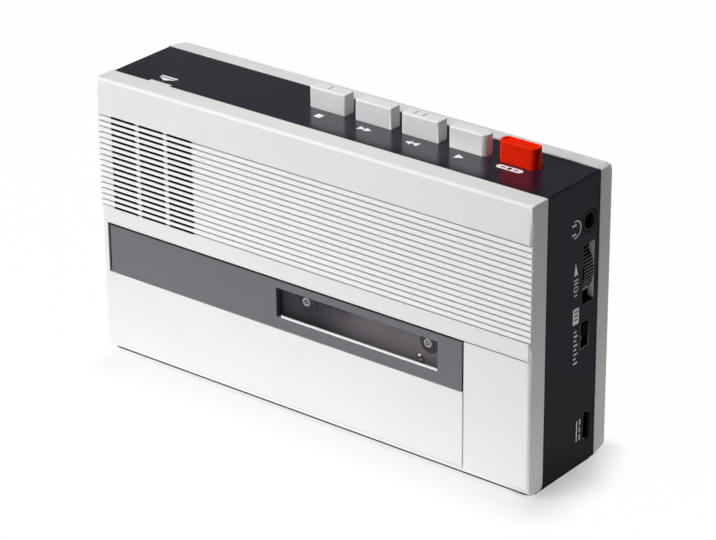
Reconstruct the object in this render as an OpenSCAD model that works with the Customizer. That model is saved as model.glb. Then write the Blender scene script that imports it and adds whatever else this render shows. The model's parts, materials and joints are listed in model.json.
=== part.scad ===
// Portable cassette player: a white lid that tilts open at the front, a charcoal mid frame
// with five top keys and side controls, a white rear cover, and a belt-driven deck inside.
// X runs to the right, Y to the back and Z up. The origin is the middle of the base.

/* [Case] */
// Width of the case
body_w = 152; // [150:1:190]
// Height of the case without its keys
body_h = 86; // [84:1:110]
// Depth of the front lid
lid_d = 7; // [6.5:0.5:9]
// Depth of the mid frame
mid_d = 24.5; // [24:0.5:32]
// Depth of the rear cover
rear_d = 6.5; // [6:0.5:10]
// Thickness of the case walls
wall = 2; // [1.6:0.1:2.4]
// Rounding of the case's corners in the front view
corner_r = 0.4; // [0.3:0.1:3]
// Rounding of the long edges of the front lid
edge_r = 1; // [0.4:0.1:1.6]
// Rounding of the rear cover's back edges
back_r = 2.2; // [1:0.1:2.6]
// Rounding of the lower outer edge of both covers
toe_r = 3; // [2:0.1:3.4]
// How far the mid frame lies inside the outline of the covers
mid_inset = 0.25; // [0.1:0.05:0.6]
// Size of the case screws' shanks
screw_r = 0.95; // [0.8:0.05:1.2]

/* [Lid] */
// Gap of the parting line between lid and mid frame
parting_gap = 0.3; // [0.2:0.05:0.6]
// Height of the lid's lower edge over the base
lid_lift = 0.3; // [0.2:0.05:0.6]
// Rounding of the lid's lower rear edge, which turns past the mid frame
heel_r = 2; // [1.6:0.1:2.6]
// Distance of the hinge axis behind the lid's front
hinge_in = 3.2; // [3:0.1:3.4]
// Height of the hinge axis
hinge_z = 2.6; // [2.4:0.1:2.8]
// Radius of the hinge pins
pin_r = 0.75; // [0.6:0.05:0.9]
// Radius of the hinge ears on the mid frame
ear_r = 1.3; // [1.2:0.05:1.4]
// Width of a hinge ear
ear_w = 2.75; // [2:0.25:4]
// Width of the finger tab on the lid's top edge
tab_w = 7.7; // [5:0.1:12]
// Distance of the finger tab from the left end
tab_x = 14.1; // [10:0.1:30]
// How far the finger tab reaches into the top panel
tab_reach = 1.1; // [0.6:0.1:2]
// Thickness of the finger tab
tab_t = 1.6; // [1:0.1:1.8]

/* [Ribs and speaker slots] */
// Number of grooves between the ribs
rib_n = 17; // [9:1:21]
// Distance from groove to groove
rib_pitch = 1.75; // [1.5:0.05:2]
// Width of a groove
groove_w = 0.5; // [0.4:0.05:0.7]
// Depth of a groove
groove_d = 0.8; // [0.5:0.05:1]
// Distance of the first groove from the top of the case
rib_drop = 11.4; // [8:0.1:14]
// Columns of speaker slots
slot_cols = 3; // [1:1:3]
// Length of a speaker slot
slot_w = 9.15; // [6:0.05:9.5]
// Height of a speaker slot
slot_h = 0.8; // [0.4:0.05:0.85]
// Distance of the speaker's axis from the left end
speaker_in = 20.2; // [19:0.1:22]
// Thickness of the lid's face at the speaker slots
grille_t = 1.3; // [1.2:0.1:1.6]
// Distance from slot column to slot column
slot_pitch = 10.6; // [10:0.1:12]

/* [Window] */
// Length of the grey window panel
panel_w = 127.6; // [110:0.1:128]
// Height of the grey window panel
panel_h = 15.05; // [12:0.05:17]
// Distance of the panel from the left end of the lid
panel_x = 2.4; // [2:0.1:6]
// Height of the panel's lower edge
panel_z = 25.85; // [22:0.05:28]
// Thickness of the window panel
panel_t = 1.1; // [0.8:0.1:1.2]
// How far the panel lies below the lid's face
panel_sink = 0.3; // [0.1:0.05:0.4]
// Length of the window
window_w = 56.35; // [50:0.05:62]
// Height of the window
window_h = 8.95; // [6:0.05:10]
// Height of the window's lower edge over the panel's
window_up = 3.3; // [2.6:0.1:4]
// Thickness of the smoked lens
lens_t = 1; // [0.8:0.1:1.2]
// How far the lens reaches past the window behind the lid's face
lens_lip = 2; // [1.5:0.1:2.4]
// Width of the moulded seam lines
seam_w = 0.4; // [0.2:0.1:0.6]

/* [Keys] */
// Distance from key to key
key_pitch = 16; // [15.4:0.1:17]
// Place of the first key from the middle of the case
key_x = -7.5; // [-9:0.1:-5]
// Width of a key
key_w = 12.4; // [10:0.1:13]
// Depth of a key
key_d = 4.35; // [3.6:0.05:5]
// Distance from the mid frame's front to the keys
key_in = 12.75; // [11.5:0.05:12.8]
// How far the keys stand above the top panel
key_rise = 6; // [5:0.1:8]
// Travel of a key
key_travel = 4; // [3:0.1:4.4]
// Rounding of the play key's end and of the record key's ends
key_end_r = 2; // [1:0.1:2.1]
// Rounding of the keys' top edges
key_top_r = 0.5; // [0.2:0.1:0.8]
// Depth of the dish in the record key's top
dish_depth = 0.3; // [0.2:0.1:1]
// Length of the springs under the keys
key_spring_len = 7.9; // [7.5:0.1:10]
// Radius of the springs under the keys
key_spring_r = 1.5; // [1:0.1:1.8]

/* [Side controls] */
// Distance of the headphone jack's axis from the back of the mid frame
jack_in = 4.74; // [4.2:0.02:5.5]
// Height of the headphone jack's axis
jack_z = 72.7; // [72.4:0.1:73]
// Radius of the headphone jack's bore
jack_bore_r = 1.8; // [1.8:0.01:1.85]
// Length of the headphone jack's bore
jack_bore_len = 12; // [11:0.5:12]
// Radius of the headphone jack's collar
jack_collar_r = 3.1; // [2.9:0.05:3.2]
// Gap round the headphone jack's collar
jack_ring = 0.3; // [0.2:0.05:0.4]
// Radius of the headphone jack's flared mouth
jack_mouth_r = 2.4; // [2.2:0.05:2.6]
// Depth of the headphone jack's flared mouth
jack_mouth = 1; // [0.5:0.1:1.5]
// Distance of the volume wheel's middle from the back of the mid frame
wheel_in = 4.55; // [4.4:0.05:5]
// Radius of the volume wheel
wheel_r = 11; // [10:0.1:11.4]
// Width of the volume wheel
wheel_w = 4.8; // [4:0.1:5]
// Height of the volume wheel's axis
wheel_z = 57.55; // [57:0.05:58]
// How far the volume wheel stands out of the mid frame
wheel_proud = 1; // [0.4:0.1:1.4]
// Length of the slot for the volume wheel
wheel_slot = 17.3; // [16.5:0.1:18]
// Grip grooves round the volume wheel
wheel_grooves = 44; // [24:1:60]
// Distance of the slide switch's middle from the back of the mid frame
switch_in = 6; // [5:0.1:7]
// Height of the slide switch's slot
switch_slot = 7.3; // [6.8:0.1:8]
// Width of the slide switch's slot
switch_slot_w = 3.6; // [3:0.1:4]
// Height of the slide switch's middle
switch_z = 39.55; // [39:0.05:40]
// Height of the slide switch's knob
switch_knob_h = 3.3; // [3:0.1:3.6]
// Distance of the charging socket's middle from the back of the mid frame
usb_in = 3.8; // [3.4:0.1:4.4]
// Length of the charging socket
usb_len = 8.9; // [8.9:0.02:9]
// Width of the charging socket
usb_w = 3.2; // [3.2:0.02:3.3]
// Height of the charging socket's middle
usb_z = 11.1; // [9:0.1:14]

/* [Deck] */
// Distance of the cassette's middle from the middle of the case
bay_x = 17.2; // [16:0.1:18]
// Height of the reels over the base
reel_z = 33.7; // [33:0.1:35]
// Distance between the reels of a standard cassette
reel_gap = 42.5; // [42.5:0.1:42.6]
// Width of a standard cassette
tape_w = 100.4; // [100.4:0.1:100.6]
// Distance of a cassette's lower edge from its reels
tape_below = 29; // [29:0.1:29.2]
// Distance of the capstan from the cassette's middle
capstan_x = 27.2; // [26:0.1:28]
// Height of the capstan above the reels
capstan_up = 28.7; // [28:0.1:29.4]
// Radius of the reel and capstan shafts
shaft_r = 1; // [0.9:0.05:1.1]
// Radius of the capstan flywheel
flywheel_r = 15; // [12:0.5:15]
// Radius of the motor pulley
motor_pulley_r = 3; // [2.5:0.1:3.5]
// Distance of the motor from the capstan
motor_gap = 34; // [32:0.5:36]
// Radius of the motor
motor_r = 11; // [9:0.5:11.5]
// Radius of the small pulley on the flywheel
flywheel_pulley_r = 3; // [2.5:0.1:3.2]
// Radius of the pulley on the take-up reel
reel_pulley_r = 6; // [5:0.1:7]
// Thickness of the belts
belt_t = 0.6; // [0.4:0.1:0.8]
// Width of the main belt
belt_w = 2; // [1.5:0.1:2.2]
// Radius of the pinch roller
pinch_r = 5.2; // [4.8:0.1:5.4]
// Travel of the head plate
head_travel = 3.5; // [3:0.1:3.6]

/* [Power] */
// Radius of a cell
cell_r = 7.25; // [7.25:0.05:7.3]
// Length of a cell
cell_len = 50.5; // [50.5:0.1:50.6]
// Room for the contacts at each end of the cells
contact_room = 2.8; // [2.4:0.1:3]
// Room between the cells and the battery door
cell_room = 1.2; // [1.1:0.1:1.6]
// Thickness of the tray's walls
tray_wall = 1.2; // [1:0.1:1.4]

/* [Hidden] */
$fn = 48;

// Clearances
// Between pieces that move past one another
gap = 0.3;
// Between a shaft and its bush, on the radius
running = 0.05;
// Between a shaft and what is pressed on it, on the radius
press = 0.02;
// Between a belt and its pulleys
belt_gap = 0.15;
// How far a cutting shape reaches past what it cuts
over = 1;

// Outline of the case
left = -body_w / 2;
right = body_w / 2;
front = -(lid_d + mid_d + rear_d) / 2;
parting = front + lid_d;
rear_joint = parting + mid_d;
back = rear_joint + rear_d;
lid_back = parting - parting_gap / 2;
mid_front = parting + parting_gap / 2;
mid_left = left + mid_inset;
mid_right = right - mid_inset;
mid_top = body_h - mid_inset;
in_left = mid_left + wall;
in_right = mid_right - wall;
in_top = mid_top - wall;
lid_in = front + wall;
hinge_y = front + hinge_in;
ear_out = in_right - gap;
tab_left = left + tab_x;
screw_in = 5.5;
screw_low_x = [bay_x - 28, bay_x + 30];
screw_places = [[left + screw_in, body_h - screw_in], [right - screw_in, body_h - screw_in],
    [screw_low_x[0], screw_in], [screw_low_x[1], screw_in]];
screw_boss = 6;
screw_grip = 5;
screw_head_r = 2;
screw_head_h = 1.2;

// Ribs and slots on the lid
rib_top = body_h - rib_drop;
rib_low = rib_top - (rib_n - 1) * rib_pitch;
speaker_z = rib_top - (rib_n - 1) * rib_pitch / 2;
speaker_x = left + speaker_in;
speaker_r = 16;
speaker_hole_r = 13;
speaker_deep = 6.6;
cloth_t = 0.4;
cloth_margin = 0.5;
cloth_w = slot_cols * slot_pitch + 2 * cloth_margin;
cloth_h = rib_n * rib_pitch + 2 * cloth_margin;

// Window
panel_left = left + panel_x;
panel_right = panel_left + panel_w;
panel_top = panel_z + panel_h;
panel_back = front + panel_sink + panel_t;
window_left = bay_x - window_w / 2;
window_z = panel_z + window_up;

// Deck, from the cassette well's floor to the back
well_depth = 7.35;
well_floor = mid_front + well_depth;
cover_t = 1.5;
cover_rim = 1.2;
cover_back = well_floor + cover_t;
baffle_in = 1.35;
baffle_front = mid_front + baffle_in;
baffle_back = baffle_front + cover_t;
plate_room = 3.5;
plate_front = cover_back + plate_room;
plate_t = 1;
plate_back = plate_front + plate_t;
ledge = 2;
ledge_t = 1.6;
bay_room = 3;
bay_wall = bay_x - tape_w / 2 - bay_room;
takeup_x = bay_x - reel_gap / 2;
supply_x = bay_x + reel_gap / 2;
spindle_reach = 8.7;
spindle_tip = well_floor - spindle_reach;
collar_r = 4.6;
collar_rise = 1.7;
capstan = [bay_x - capstan_x, reel_z + capstan_up];
motor = [capstan[0] - motor_gap, capstan[1]];
pulley_room = 1;
fly_room = 3.7;
fly_t = 3.2;
fly_front = plate_back + fly_room;
fly_back = fly_front + fly_t;
main_belt_y = fly_front + (fly_t - belt_w) / 2;
reel_belt_w = 1.2;
reel_belt_y = plate_back + pulley_room + 0.5;
motor_shaft_r = 0.75;
motor_boss_r = 3;
motor_boss_h = 0.8;
bush_r = 2.5;
post_r = 2;
standoffs = [[bay_x - 26, reel_z - 19.7], [bay_x + 43, reel_z - 19.7],
    [bay_x + 43, reel_z + 32.3], [bay_x - 43.2, reel_z + 16.3]];
cover_screw = [bay_x + 11.8, reel_z - 11.2];
deck_screw_r = 1;
deck_head_r = 2;
deck_head_h = 1;
standoff_r = 2.5;

// Heads and pinch roller
head_room = 2.7;
head_plate_t = 1;
head_plate_y = plate_front - head_room;
head_rest = reel_z + 35.7;
head_reach = 8.7;
head_guides = [[bay_x - 9.2, capstan[1] + 3.6], [bay_x + 22.8, capstan[1] + 3.6]];
pinch_pivot = [capstan[0] - 14, capstan[1] + 9];
pinch_rest = [capstan[0], capstan[1] + 11.6];
pinch_hub_r = 2.4;
pinch_axle_r = 0.9;
tape_head_w = 12.6;
tape_head_h = 9.1;
erase_head_w = 7;
erase_head_h = 6;
erase_reach = 7;
erase_x = bay_x + 16.3;

// Keys
key_front = mid_front + key_in;
key_back = key_front + key_d;
flange_t = 1.25;
flange_over = 0.7;
flange_top = in_top - gap;
flange_low = flange_top - flange_t;
guide_top = flange_low - key_spring_len;
guide_t = 1.8;
guide_end = 2;
mic_x = key_x + 4 * key_pitch - 0.5;
mic_y = key_front - 5.65;
mic_r = 3;
mic_h = 3.5;
mic_slit = [2.8, 0.7];
play_lug = 2.4;
lug_gap = 0.8;

// Side controls
board_in = 1.7;
board_front = rear_joint - board_in;
board_t = 1.4;
board_w = 16.4;
jack_y = rear_joint - jack_in;
wheel_x = mid_right + wheel_proud - wheel_r;
wheel_y = rear_joint - wheel_in;
wheel_face = 1.5;
spigot_r = 1.5;
usb_y = rear_joint - usb_in;
switch_y = rear_joint - switch_in;

// Power
tray_left = in_left;
tray_right = tray_left + cell_len + 2 * (contact_room + tray_wall);
cell_y = back - wall - cell_room - cell_r;
cell_z = [for (i = [0, 1]) wall + tray_wall + gap + cell_r + i * (2 * cell_r + gap)];
tray_top = cell_z[1] + cell_r + gap + tray_wall;
door_left = tray_left + tray_wall + contact_room / 2;
door_right = tray_right - tray_wall - contact_room / 2;
door_up = 2.4;
door_low = wall + door_up;
door_top = tray_top - tray_wall;
door_axis_y = back - wall / 2;
door_axis_z = door_low + wall / 2;

// Shapes shared by the sub-parts

// Block between two corners
module box(x0, x1, y0, y1, z0, z1) {
    translate([x0, y0, z0])
        cube([x1 - x0, y1 - y0, z1 - z0]);
}

// Round bar along X
module rod_x(y, z, r, x0, x1) {
    translate([x0, y, z])
        rotate([0, 90, 0])
            cylinder(r = r, h = x1 - x0);
}

// Round bar along Y
module rod_y(x, z, r, y0, y1) {
    translate([x, y0, z])
        rotate([-90, 0, 0])
            cylinder(r = r, h = y1 - y0);
}

// Turned shape about an axis along Y, from an outline of radius and Y
module turned(x, z) {
    translate([x, 0, z])
        rotate([-90, 0, 0])
            rotate_extrude()
                children();
}

// Outline in the front view, X and Z, carried through from y0 to y1
module from_front(y0, y1) {
    translate([0, y1, 0])
        rotate([90, 0, 0])
            linear_extrude(y1 - y0)
                children();
}

// Outline in the side view, Y and Z, carried through from x0 to x1
module from_side(x0, x1) {
    translate([x0, 0, 0])
        rotate([90, 0, 90])
            linear_extrude(x1 - x0)
                children();
}

// Outline in the top view, X and Y, carried through from z0 to z1
module from_top(z0, z1) {
    translate([0, 0, z0])
        linear_extrude(z1 - z0)
            children();
}

// What a rounding takes off a corner at the origin
module spandrel(r) {
    difference() {
        translate([-over, -over])
            square(r + over);
        translate([r, r])
            circle(r);
    }
}

// Rectangle with its own rounding at lower left, lower right, upper right and upper left
module rounded(a0, a1, b0, b1, radii) {
    difference() {
        translate([a0, b0])
            square([a1 - a0, b1 - b0]);
        if (radii[0] > 0)
            translate([a0, b0]) spandrel(radii[0]);
        if (radii[1] > 0)
            translate([a1, b0]) mirror([1, 0]) spandrel(radii[1]);
        if (radii[2] > 0)
            translate([a1, b1]) rotate(180) spandrel(radii[2]);
        if (radii[3] > 0)
            translate([a0, b1]) mirror([0, 1]) spandrel(radii[3]);
    }
}

// Outer block of a cover: rounded in the front view, in the side view and in the top view
module cover_block(y0, y1, z0, side_radii, top_radii) {
    intersection() {
        from_front(y0, y1)
            rounded(left, right, z0, body_h, [for (i = [1:4]) corner_r]);
        from_side(left, right)
            rounded(y0, y1, z0, body_h, side_radii);
        from_top(z0, body_h)
            rounded(left, right, y0, y1, top_radii);
    }
}

// Belt round two pulleys
module belt(a, ra, b, rb, y, w) {
    from_front(y, y + w)
        difference() {
            hull() {
                translate(a) circle(ra + belt_gap + belt_t);
                translate(b) circle(rb + belt_gap + belt_t);
            }
            hull() {
                translate(a) circle(ra + belt_gap);
                translate(b) circle(rb + belt_gap);
            }
        }
}

// Lid

// Slots through the lid's face in front of the speaker
module speaker_slots() {
    for (row = [0:rib_n - 1], col = [0:slot_cols - 1]) {
        x = speaker_x + (col - (slot_cols - 1) / 2) * slot_pitch;
        z = rib_top - row * rib_pitch;
        box(x - slot_w / 2, x + slot_w / 2, front - over, lid_in + over, z - slot_h / 2, z + slot_h / 2);
    }
}

// Room for one hinge ear in the lid's lower edge
module ear_notch() {
    box(ear_out - ear_w - gap, right - wall, hinge_y - ear_r - gap, lid_back + over,
        -over, hinge_z + ear_r + gap);
    rod_x(hinge_y, hinge_z, pin_r + press, right - wall - over, right - wall / 2);
}

// One round-bottomed groove between two ribs, right across the lid
module rib_groove(z) {
    root = front + groove_d - groove_w / 2;
    box(left - over, right + over, front - over, root, z - groove_w / 2, z + groove_w / 2);
    rod_x(root, z, groove_w / 2, left - over, right + over);
}

module front_lid() {
    color("whitesmoke")
        difference() {
            union() {
                cover_block(front, lid_back, lid_lift, [toe_r, heel_r, 0, edge_r], [edge_r, edge_r, 0, 0]);
                // the ribs run out square at both sides
                box(left, right, front, lid_in, rib_low, rib_top);
                box(tab_left, tab_left + tab_w, lid_back - over, parting + tab_reach,
                    body_h - tab_t, body_h);
            }
            box(left + wall, right - wall, lid_in, lid_back + over, lid_lift + wall, body_h - wall - gap);
            for (row = [0:rib_n - 1]) rib_groove(rib_top - row * rib_pitch);
            speaker_slots();
            // pocket for the grille cloth
            box(speaker_x - cloth_w / 2 - gap, speaker_x + cloth_w / 2 + gap, front + grille_t,
                lid_in + over,
                speaker_z - cloth_h / 2 - gap, speaker_z + cloth_h / 2 + gap);
            box(panel_left - gap, panel_right + gap, front - over, panel_back, panel_z - gap,
                panel_top + gap);
            box(window_left, window_left + window_w, front - over, lid_in + over, window_z,
                window_z + window_h);
            box(panel_right, panel_right + seam_w, front - over, front + seam_w, -over, panel_z);
            box(panel_right, right + over, front - over, front + seam_w, panel_top, panel_top + seam_w);
            ear_notch();
            mirror([1, 0, 0]) ear_notch();
        }
}

module window_panel() {
    color("dimgray")
        difference() {
            box(panel_left, panel_right, front + panel_sink, panel_back, panel_z, panel_top);
            box(window_left, window_left + window_w, front - over, panel_back + over,
                window_z, window_z + window_h);
        }
}

// The lens is fixed to the inside of the lid's face, behind the window
module window_lens() {
    color([0.2, 0.2, 0.22, 0.4])
        box(window_left - lens_lip, window_left + window_w + lens_lip, lid_in, lid_in + lens_t,
            window_z - lens_lip, window_z + window_h + lens_lip);
}

module grille_cloth() {
    color("black")
        box(speaker_x - cloth_w / 2, speaker_x + cloth_w / 2, front + grille_t, front + grille_t + cloth_t,
            speaker_z - cloth_h / 2, speaker_z + cloth_h / 2);
}

module hinge_pins() {
    pin_end = ear_out - ear_w - gap;
    color("silver") {
        rod_x(hinge_y, hinge_z, pin_r, pin_end, right - wall / 2);
        mirror([1, 0, 0]) rod_x(hinge_y, hinge_z, pin_r, pin_end, right - wall / 2);
    }
}

// Frame on the lid's inside that the cassette drops into: a shelf and two hooked rails
module cassette_carrier() {
    rail_t = 1.2;
    hook = 1.8;
    rail_up = 18;
    tape_room = 0.4;
    finger_in = 3;
    rail_top = reel_z + rail_up;
    shelf_z = reel_z - tape_below - gap - rail_t;
    half = tape_w / 2 + tape_room;
    hook_back = well_floor - gap;
    color("#303034")
        difference() {
            union() {
                for (side = [-1, 1]) {
                    rail = bay_x + side * (half + rail_t / 2);
                    lip = bay_x + side * (half - hook / 2 + rail_t / 2);
                    box(rail - rail_t / 2, rail + rail_t / 2, lid_in, hook_back, shelf_z, rail_top);
                    box(lip - (hook + rail_t) / 2, lip + (hook + rail_t) / 2, hook_back - rail_t, hook_back,
                        shelf_z, rail_top);
                }
                box(bay_x - half - rail_t, bay_x + half + rail_t, lid_in, hook_back, shelf_z,
                    shelf_z + rail_t);
            }
            // finger room in the middle of the shelf
            box(bay_x - half / 2, bay_x + half / 2, lid_in + finger_in, hook_back + over, shelf_z - over,
                shelf_z + rail_t + over);
        }
}

// Leaf spring that presses the cassette back onto the deck
module cassette_spring() {
    spring_t = 0.4;
    spring_w = 12;
    reach = 1.6;
    foot = 3;
    half = 9;
    middle = reel_z + 18;
    inner = half - foot - 0.2;
    outer = half - foot;
    color("silver")
        from_side(bay_x - spring_w / 2, bay_x + spring_w / 2)
            polygon([[lid_in, middle - half], [lid_in + spring_t, middle - half],
                [lid_in + spring_t, middle - outer], [lid_in + reach, middle],
                [lid_in + spring_t, middle + outer], [lid_in + spring_t, middle + half],
                [lid_in, middle + half], [lid_in, middle + inner], [lid_in + reach - spring_t, middle],
                [lid_in, middle - inner]]);
}

// Case

// Outline of a key in the top view, grown all round by a clearance
module key_outline(i, grow) {
    x = key_x + i * key_pitch;
    right_r = i >= 3 ? key_end_r : key_top_r;
    left_r = i == 4 ? key_end_r : key_top_r;
    rounded(x - key_w / 2 - grow, x + key_w / 2 + grow, key_front - grow, key_back + grow,
        [left_r, right_r, right_r, left_r]);
}

// Outline of the charging socket in the side view, grown all round by a clearance
module usb_outline(grow) {
    flat = 0.1;
    r = usb_w / 2 - flat + grow;
    rounded(usb_y - usb_w / 2 - grow, usb_y + usb_w / 2 + grow, usb_z - usb_len / 2 - grow,
        usb_z + usb_len / 2 + grow, [r, r, r, r]);
}

// Ear of the lid's hinge, with its bore
module hinge_ear() {
    root = 6;
    difference() {
        from_side(ear_out - ear_w, ear_out) {
            translate([hinge_y, hinge_z]) circle(ear_r);
            translate([hinge_y, hinge_z - ear_r]) square([mid_front - hinge_y + root, 2 * ear_r]);
        }
        rod_x(hinge_y, hinge_z, pin_r + running, left, right);
    }
}

module mid_frame() {
    slot_y = [wheel_y - wheel_w / 2 - gap, wheel_y + wheel_w / 2 + gap];
    shelf = [4, 2];
    shelf_z = [usb_z + 12, usb_z + 17];
    usb_room = 0.1;
    color("#3a3a3e") {
        difference() {
            union() {
                difference() {
                    from_front(mid_front, rear_joint)
                        rounded(mid_left, mid_right, 0, mid_top, [for (i = [1:4]) corner_r]);
                    box(in_left, in_right, mid_front - over, rear_joint + over, wall, in_top);
                }
                // ledge that the deck cover seats on
                difference() {
                    box(mid_left + wall / 2, mid_right - wall / 2, cover_back, cover_back + ledge_t,
                        wall / 2, mid_top - wall / 2);
                    box(in_left + ledge, in_right - ledge, cover_back - over, cover_back + ledge_t + over,
                        wall + ledge, in_top - ledge);
                }
                // bosses for the case screws
                for (place = screw_places) {
                    up = place[1] > body_h / 2;
                    box(place[0] - screw_boss / 2, place[0] + screw_boss / 2,
                        rear_joint - screw_grip - 2 * over, rear_joint,
                        up ? place[1] - screw_boss / 2 : wall / 2,
                        up ? mid_top - wall / 2 : place[1] + screw_boss / 2);
                }
                // shelf that the main board is fixed to
                box(in_right - shelf[0], in_right + wall / 2, board_front - shelf[1], board_front,
                    shelf_z[0], shelf_z[1]);
            }
            for (place = screw_places)
                rod_y(place[0], place[1], screw_r + press, rear_joint - screw_grip - over,
                    rear_joint + over);
            for (i = [0:4])
                from_top(in_top - over, mid_top + over) key_outline(i, gap);
            // notch for the lid's finger tab
            box(tab_left - gap, tab_left + tab_w + gap, mid_front - over, parting + tab_reach + gap,
                body_h - tab_t - gap, body_h + over);
            // microphone slit
            box(mic_x - mic_slit[0] / 2, mic_x + mic_slit[0] / 2, mic_y - mic_slit[1] / 2,
                mic_y + mic_slit[1] / 2, in_top - over, mid_top + over);
            rod_x(jack_y, jack_z, jack_collar_r + jack_ring, in_right - over, right + over);
            box(in_right - over, right + over, slot_y[0], slot_y[1], wheel_z - wheel_slot / 2,
                wheel_z + wheel_slot / 2);
            box(in_right - over, right + over, switch_y - switch_slot_w / 2, switch_y + switch_slot_w / 2,
                switch_z - switch_slot / 2, switch_z + switch_slot / 2);
            from_side(in_right - over, right + over) usb_outline(usb_room);
            // clear of the ledge for the keys and what they press
            box(key_x - key_w, key_x + 4 * key_pitch + key_w, mid_front, rear_joint - 8,
                in_top - ledge - over,
                in_top);
        }
        hinge_ear();
        mirror([1, 0, 0]) hinge_ear();
    }
}

module rear_cover() {
    color("whitesmoke")
        difference() {
            union() {
                difference() {
                    cover_block(rear_joint, back, 0, [0, toe_r, back_r, 0], [0, 0, back_r, back_r]);
                    box(left + wall, right - wall, rear_joint - over, back - wall, wall, body_h - wall);
                }
                for (place = screw_places)
                    rod_y(place[0], place[1], screw_boss / 2, rear_joint, back - wall / 2);
            }
            for (place = screw_places) {
                rod_y(place[0], place[1], screw_r + running, rear_joint - over, back + over);
                rod_y(place[0], place[1], screw_head_r + gap, back - screw_head_h - gap, back + over);
            }
            box(door_left - gap, door_right + gap, back - wall - over, back + over, door_low - gap,
                door_top + gap);
        }
}

module case_screws() {
    color("silver")
        for (place = screw_places) {
            rod_y(place[0], place[1], screw_r, rear_joint - screw_grip, back - screw_head_h);
            rod_y(place[0], place[1], screw_head_r, back - screw_head_h - gap, back - gap);
        }
}

// Deck

module deck_cover() {
    head_bay = [pinch_pivot[0] - 3, bay_x + 28.8, capstan[1] + 0.1, in_top - 2.75];
    pegs = [bay_x - 33.2, bay_x + 33.2];
    peg_z = reel_z + 26;
    peg_r = 1.4;
    peg_tip_r = 0.5;
    peg_tip = well_floor - 8.5;
    peg_cone = 2.5;
    reel_hole_r = collar_r + 2 * gap;
    capstan_hole_r = 3.2;
    mic_room = mic_r + 1.5;
    low = wall + gap;
    top = in_top - gap;
    color("#2b2b2f")
        difference() {
            union() {
                box(bay_wall - cover_t, in_right - gap, well_floor, cover_back, low, top);
                box(bay_wall - cover_t, bay_wall, baffle_front, cover_back, low, top);
                box(in_left + gap, bay_wall, baffle_front, baffle_back, low, top);
                box(in_left + gap, in_left + gap + cover_rim, baffle_front, cover_back, low, top);
                for (place = standoffs)
                    rod_y(place[0], place[1], standoff_r, well_floor, plate_front);
                for (x = pegs)
                    turned(x, peg_z)
                        polygon([[0, peg_tip], [peg_tip_r, peg_tip], [peg_r, peg_tip + peg_cone],
                            [peg_r, cover_back], [0, cover_back]]);
            }
            for (place = standoffs)
                rod_y(place[0], place[1], deck_screw_r + press, cover_back, plate_front + over);
            for (x = [takeup_x, supply_x])
                rod_y(x, reel_z, reel_hole_r, well_floor - over, cover_back + over);
            rod_y(cover_screw[0], cover_screw[1], deck_screw_r + press, well_floor - over,
                cover_back + over);
            box(head_bay[0], head_bay[1], well_floor - over, cover_back + over, head_bay[2], head_bay[3]);
            rod_y(capstan[0], capstan[1], capstan_hole_r, well_floor - over, cover_back + over);
            box(mic_x - mic_room, mic_x + mic_room, well_floor - over, cover_back + over,
                in_top - mic_h - 1.5, in_top);
            rod_y(speaker_x, speaker_z, speaker_hole_r, baffle_front - over, baffle_back + over);
            // clear of the hinge ears
            for (x = [-ear_out, ear_out - ear_w])
                box(x - gap, x + ear_w + gap, baffle_front - over, cover_back + over, 0,
                    hinge_z + ear_r + gap);
        }
}

module deck_plate() {
    plate_x = [bay_x - 47.2, bay_x + 48.8];
    step_x = bay_x - 31.2;
    fin_x = bay_x - 35.2;
    low = reel_z - 25.7;
    step_z = reel_z + 3.3;
    top = capstan[1] + 9.1;
    fin_top = capstan[1] + 13.6;
    r = 2;
    color("silver")
        difference() {
            from_front(plate_front, plate_back) {
                rounded(step_x, plate_x[1], low, top, [r, r, r, 0]);
                rounded(plate_x[0], step_x + over, step_z, top, [r, 0, 0, 0]);
                rounded(plate_x[0], fin_x, capstan[1], fin_top, [0, 0, r, r]);
            }
            for (place = standoffs)
                rod_y(place[0], place[1], deck_screw_r + running, plate_front - over, plate_back + over);
            for (place = [[takeup_x, reel_z], [supply_x, reel_z], capstan])
                rod_y(place[0], place[1], bush_r, plate_front - over, plate_back + over);
            for (place = concat(head_guides, [pinch_pivot]))
                rod_y(place[0], place[1], shaft_r + press, plate_front - over, plate_back + over);
        }
}

// Screws from the back of the deck plate into the cover, and one seen at the well's floor
module deck_screws() {
    cover_head_r = 1.6;
    cover_head_h = 0.8;
    cover_len = cover_t + 1.5;
    tip_room = 0.5;
    color("silver") {
        for (place = standoffs) {
            rod_y(place[0], place[1], deck_screw_r, cover_back + tip_room, plate_back + deck_head_h / 2);
            rod_y(place[0], place[1], deck_head_r, plate_back, plate_back + deck_head_h);
        }
        rod_y(cover_screw[0], cover_screw[1], deck_screw_r, well_floor - cover_head_h / 2,
            well_floor + cover_len);
        rod_y(cover_screw[0], cover_screw[1], cover_head_r, well_floor - cover_head_h, well_floor);
    }
}

// Two guide pins of the head plate and the pinch arm's pivot, pressed into the deck plate
module deck_pins() {
    proud = 0.7;
    pivot_proud = 2;
    color("silver") {
        for (place = head_guides)
            rod_y(place[0], place[1], shaft_r, head_plate_y - proud, plate_back);
        rod_y(pinch_pivot[0], pinch_pivot[1], shaft_r, well_floor - pivot_proud, plate_back);
    }
}

module shaft_bushes() {
    proud = 0.65;
    color("goldenrod")
        for (place = [[takeup_x, reel_z], [supply_x, reel_z], capstan])
            difference() {
                rod_y(place[0], place[1], bush_r - press, plate_front - proud, plate_back + proud);
                rod_y(place[0], place[1], shaft_r + running, plate_front - over, plate_back + over);
            }
}

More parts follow.
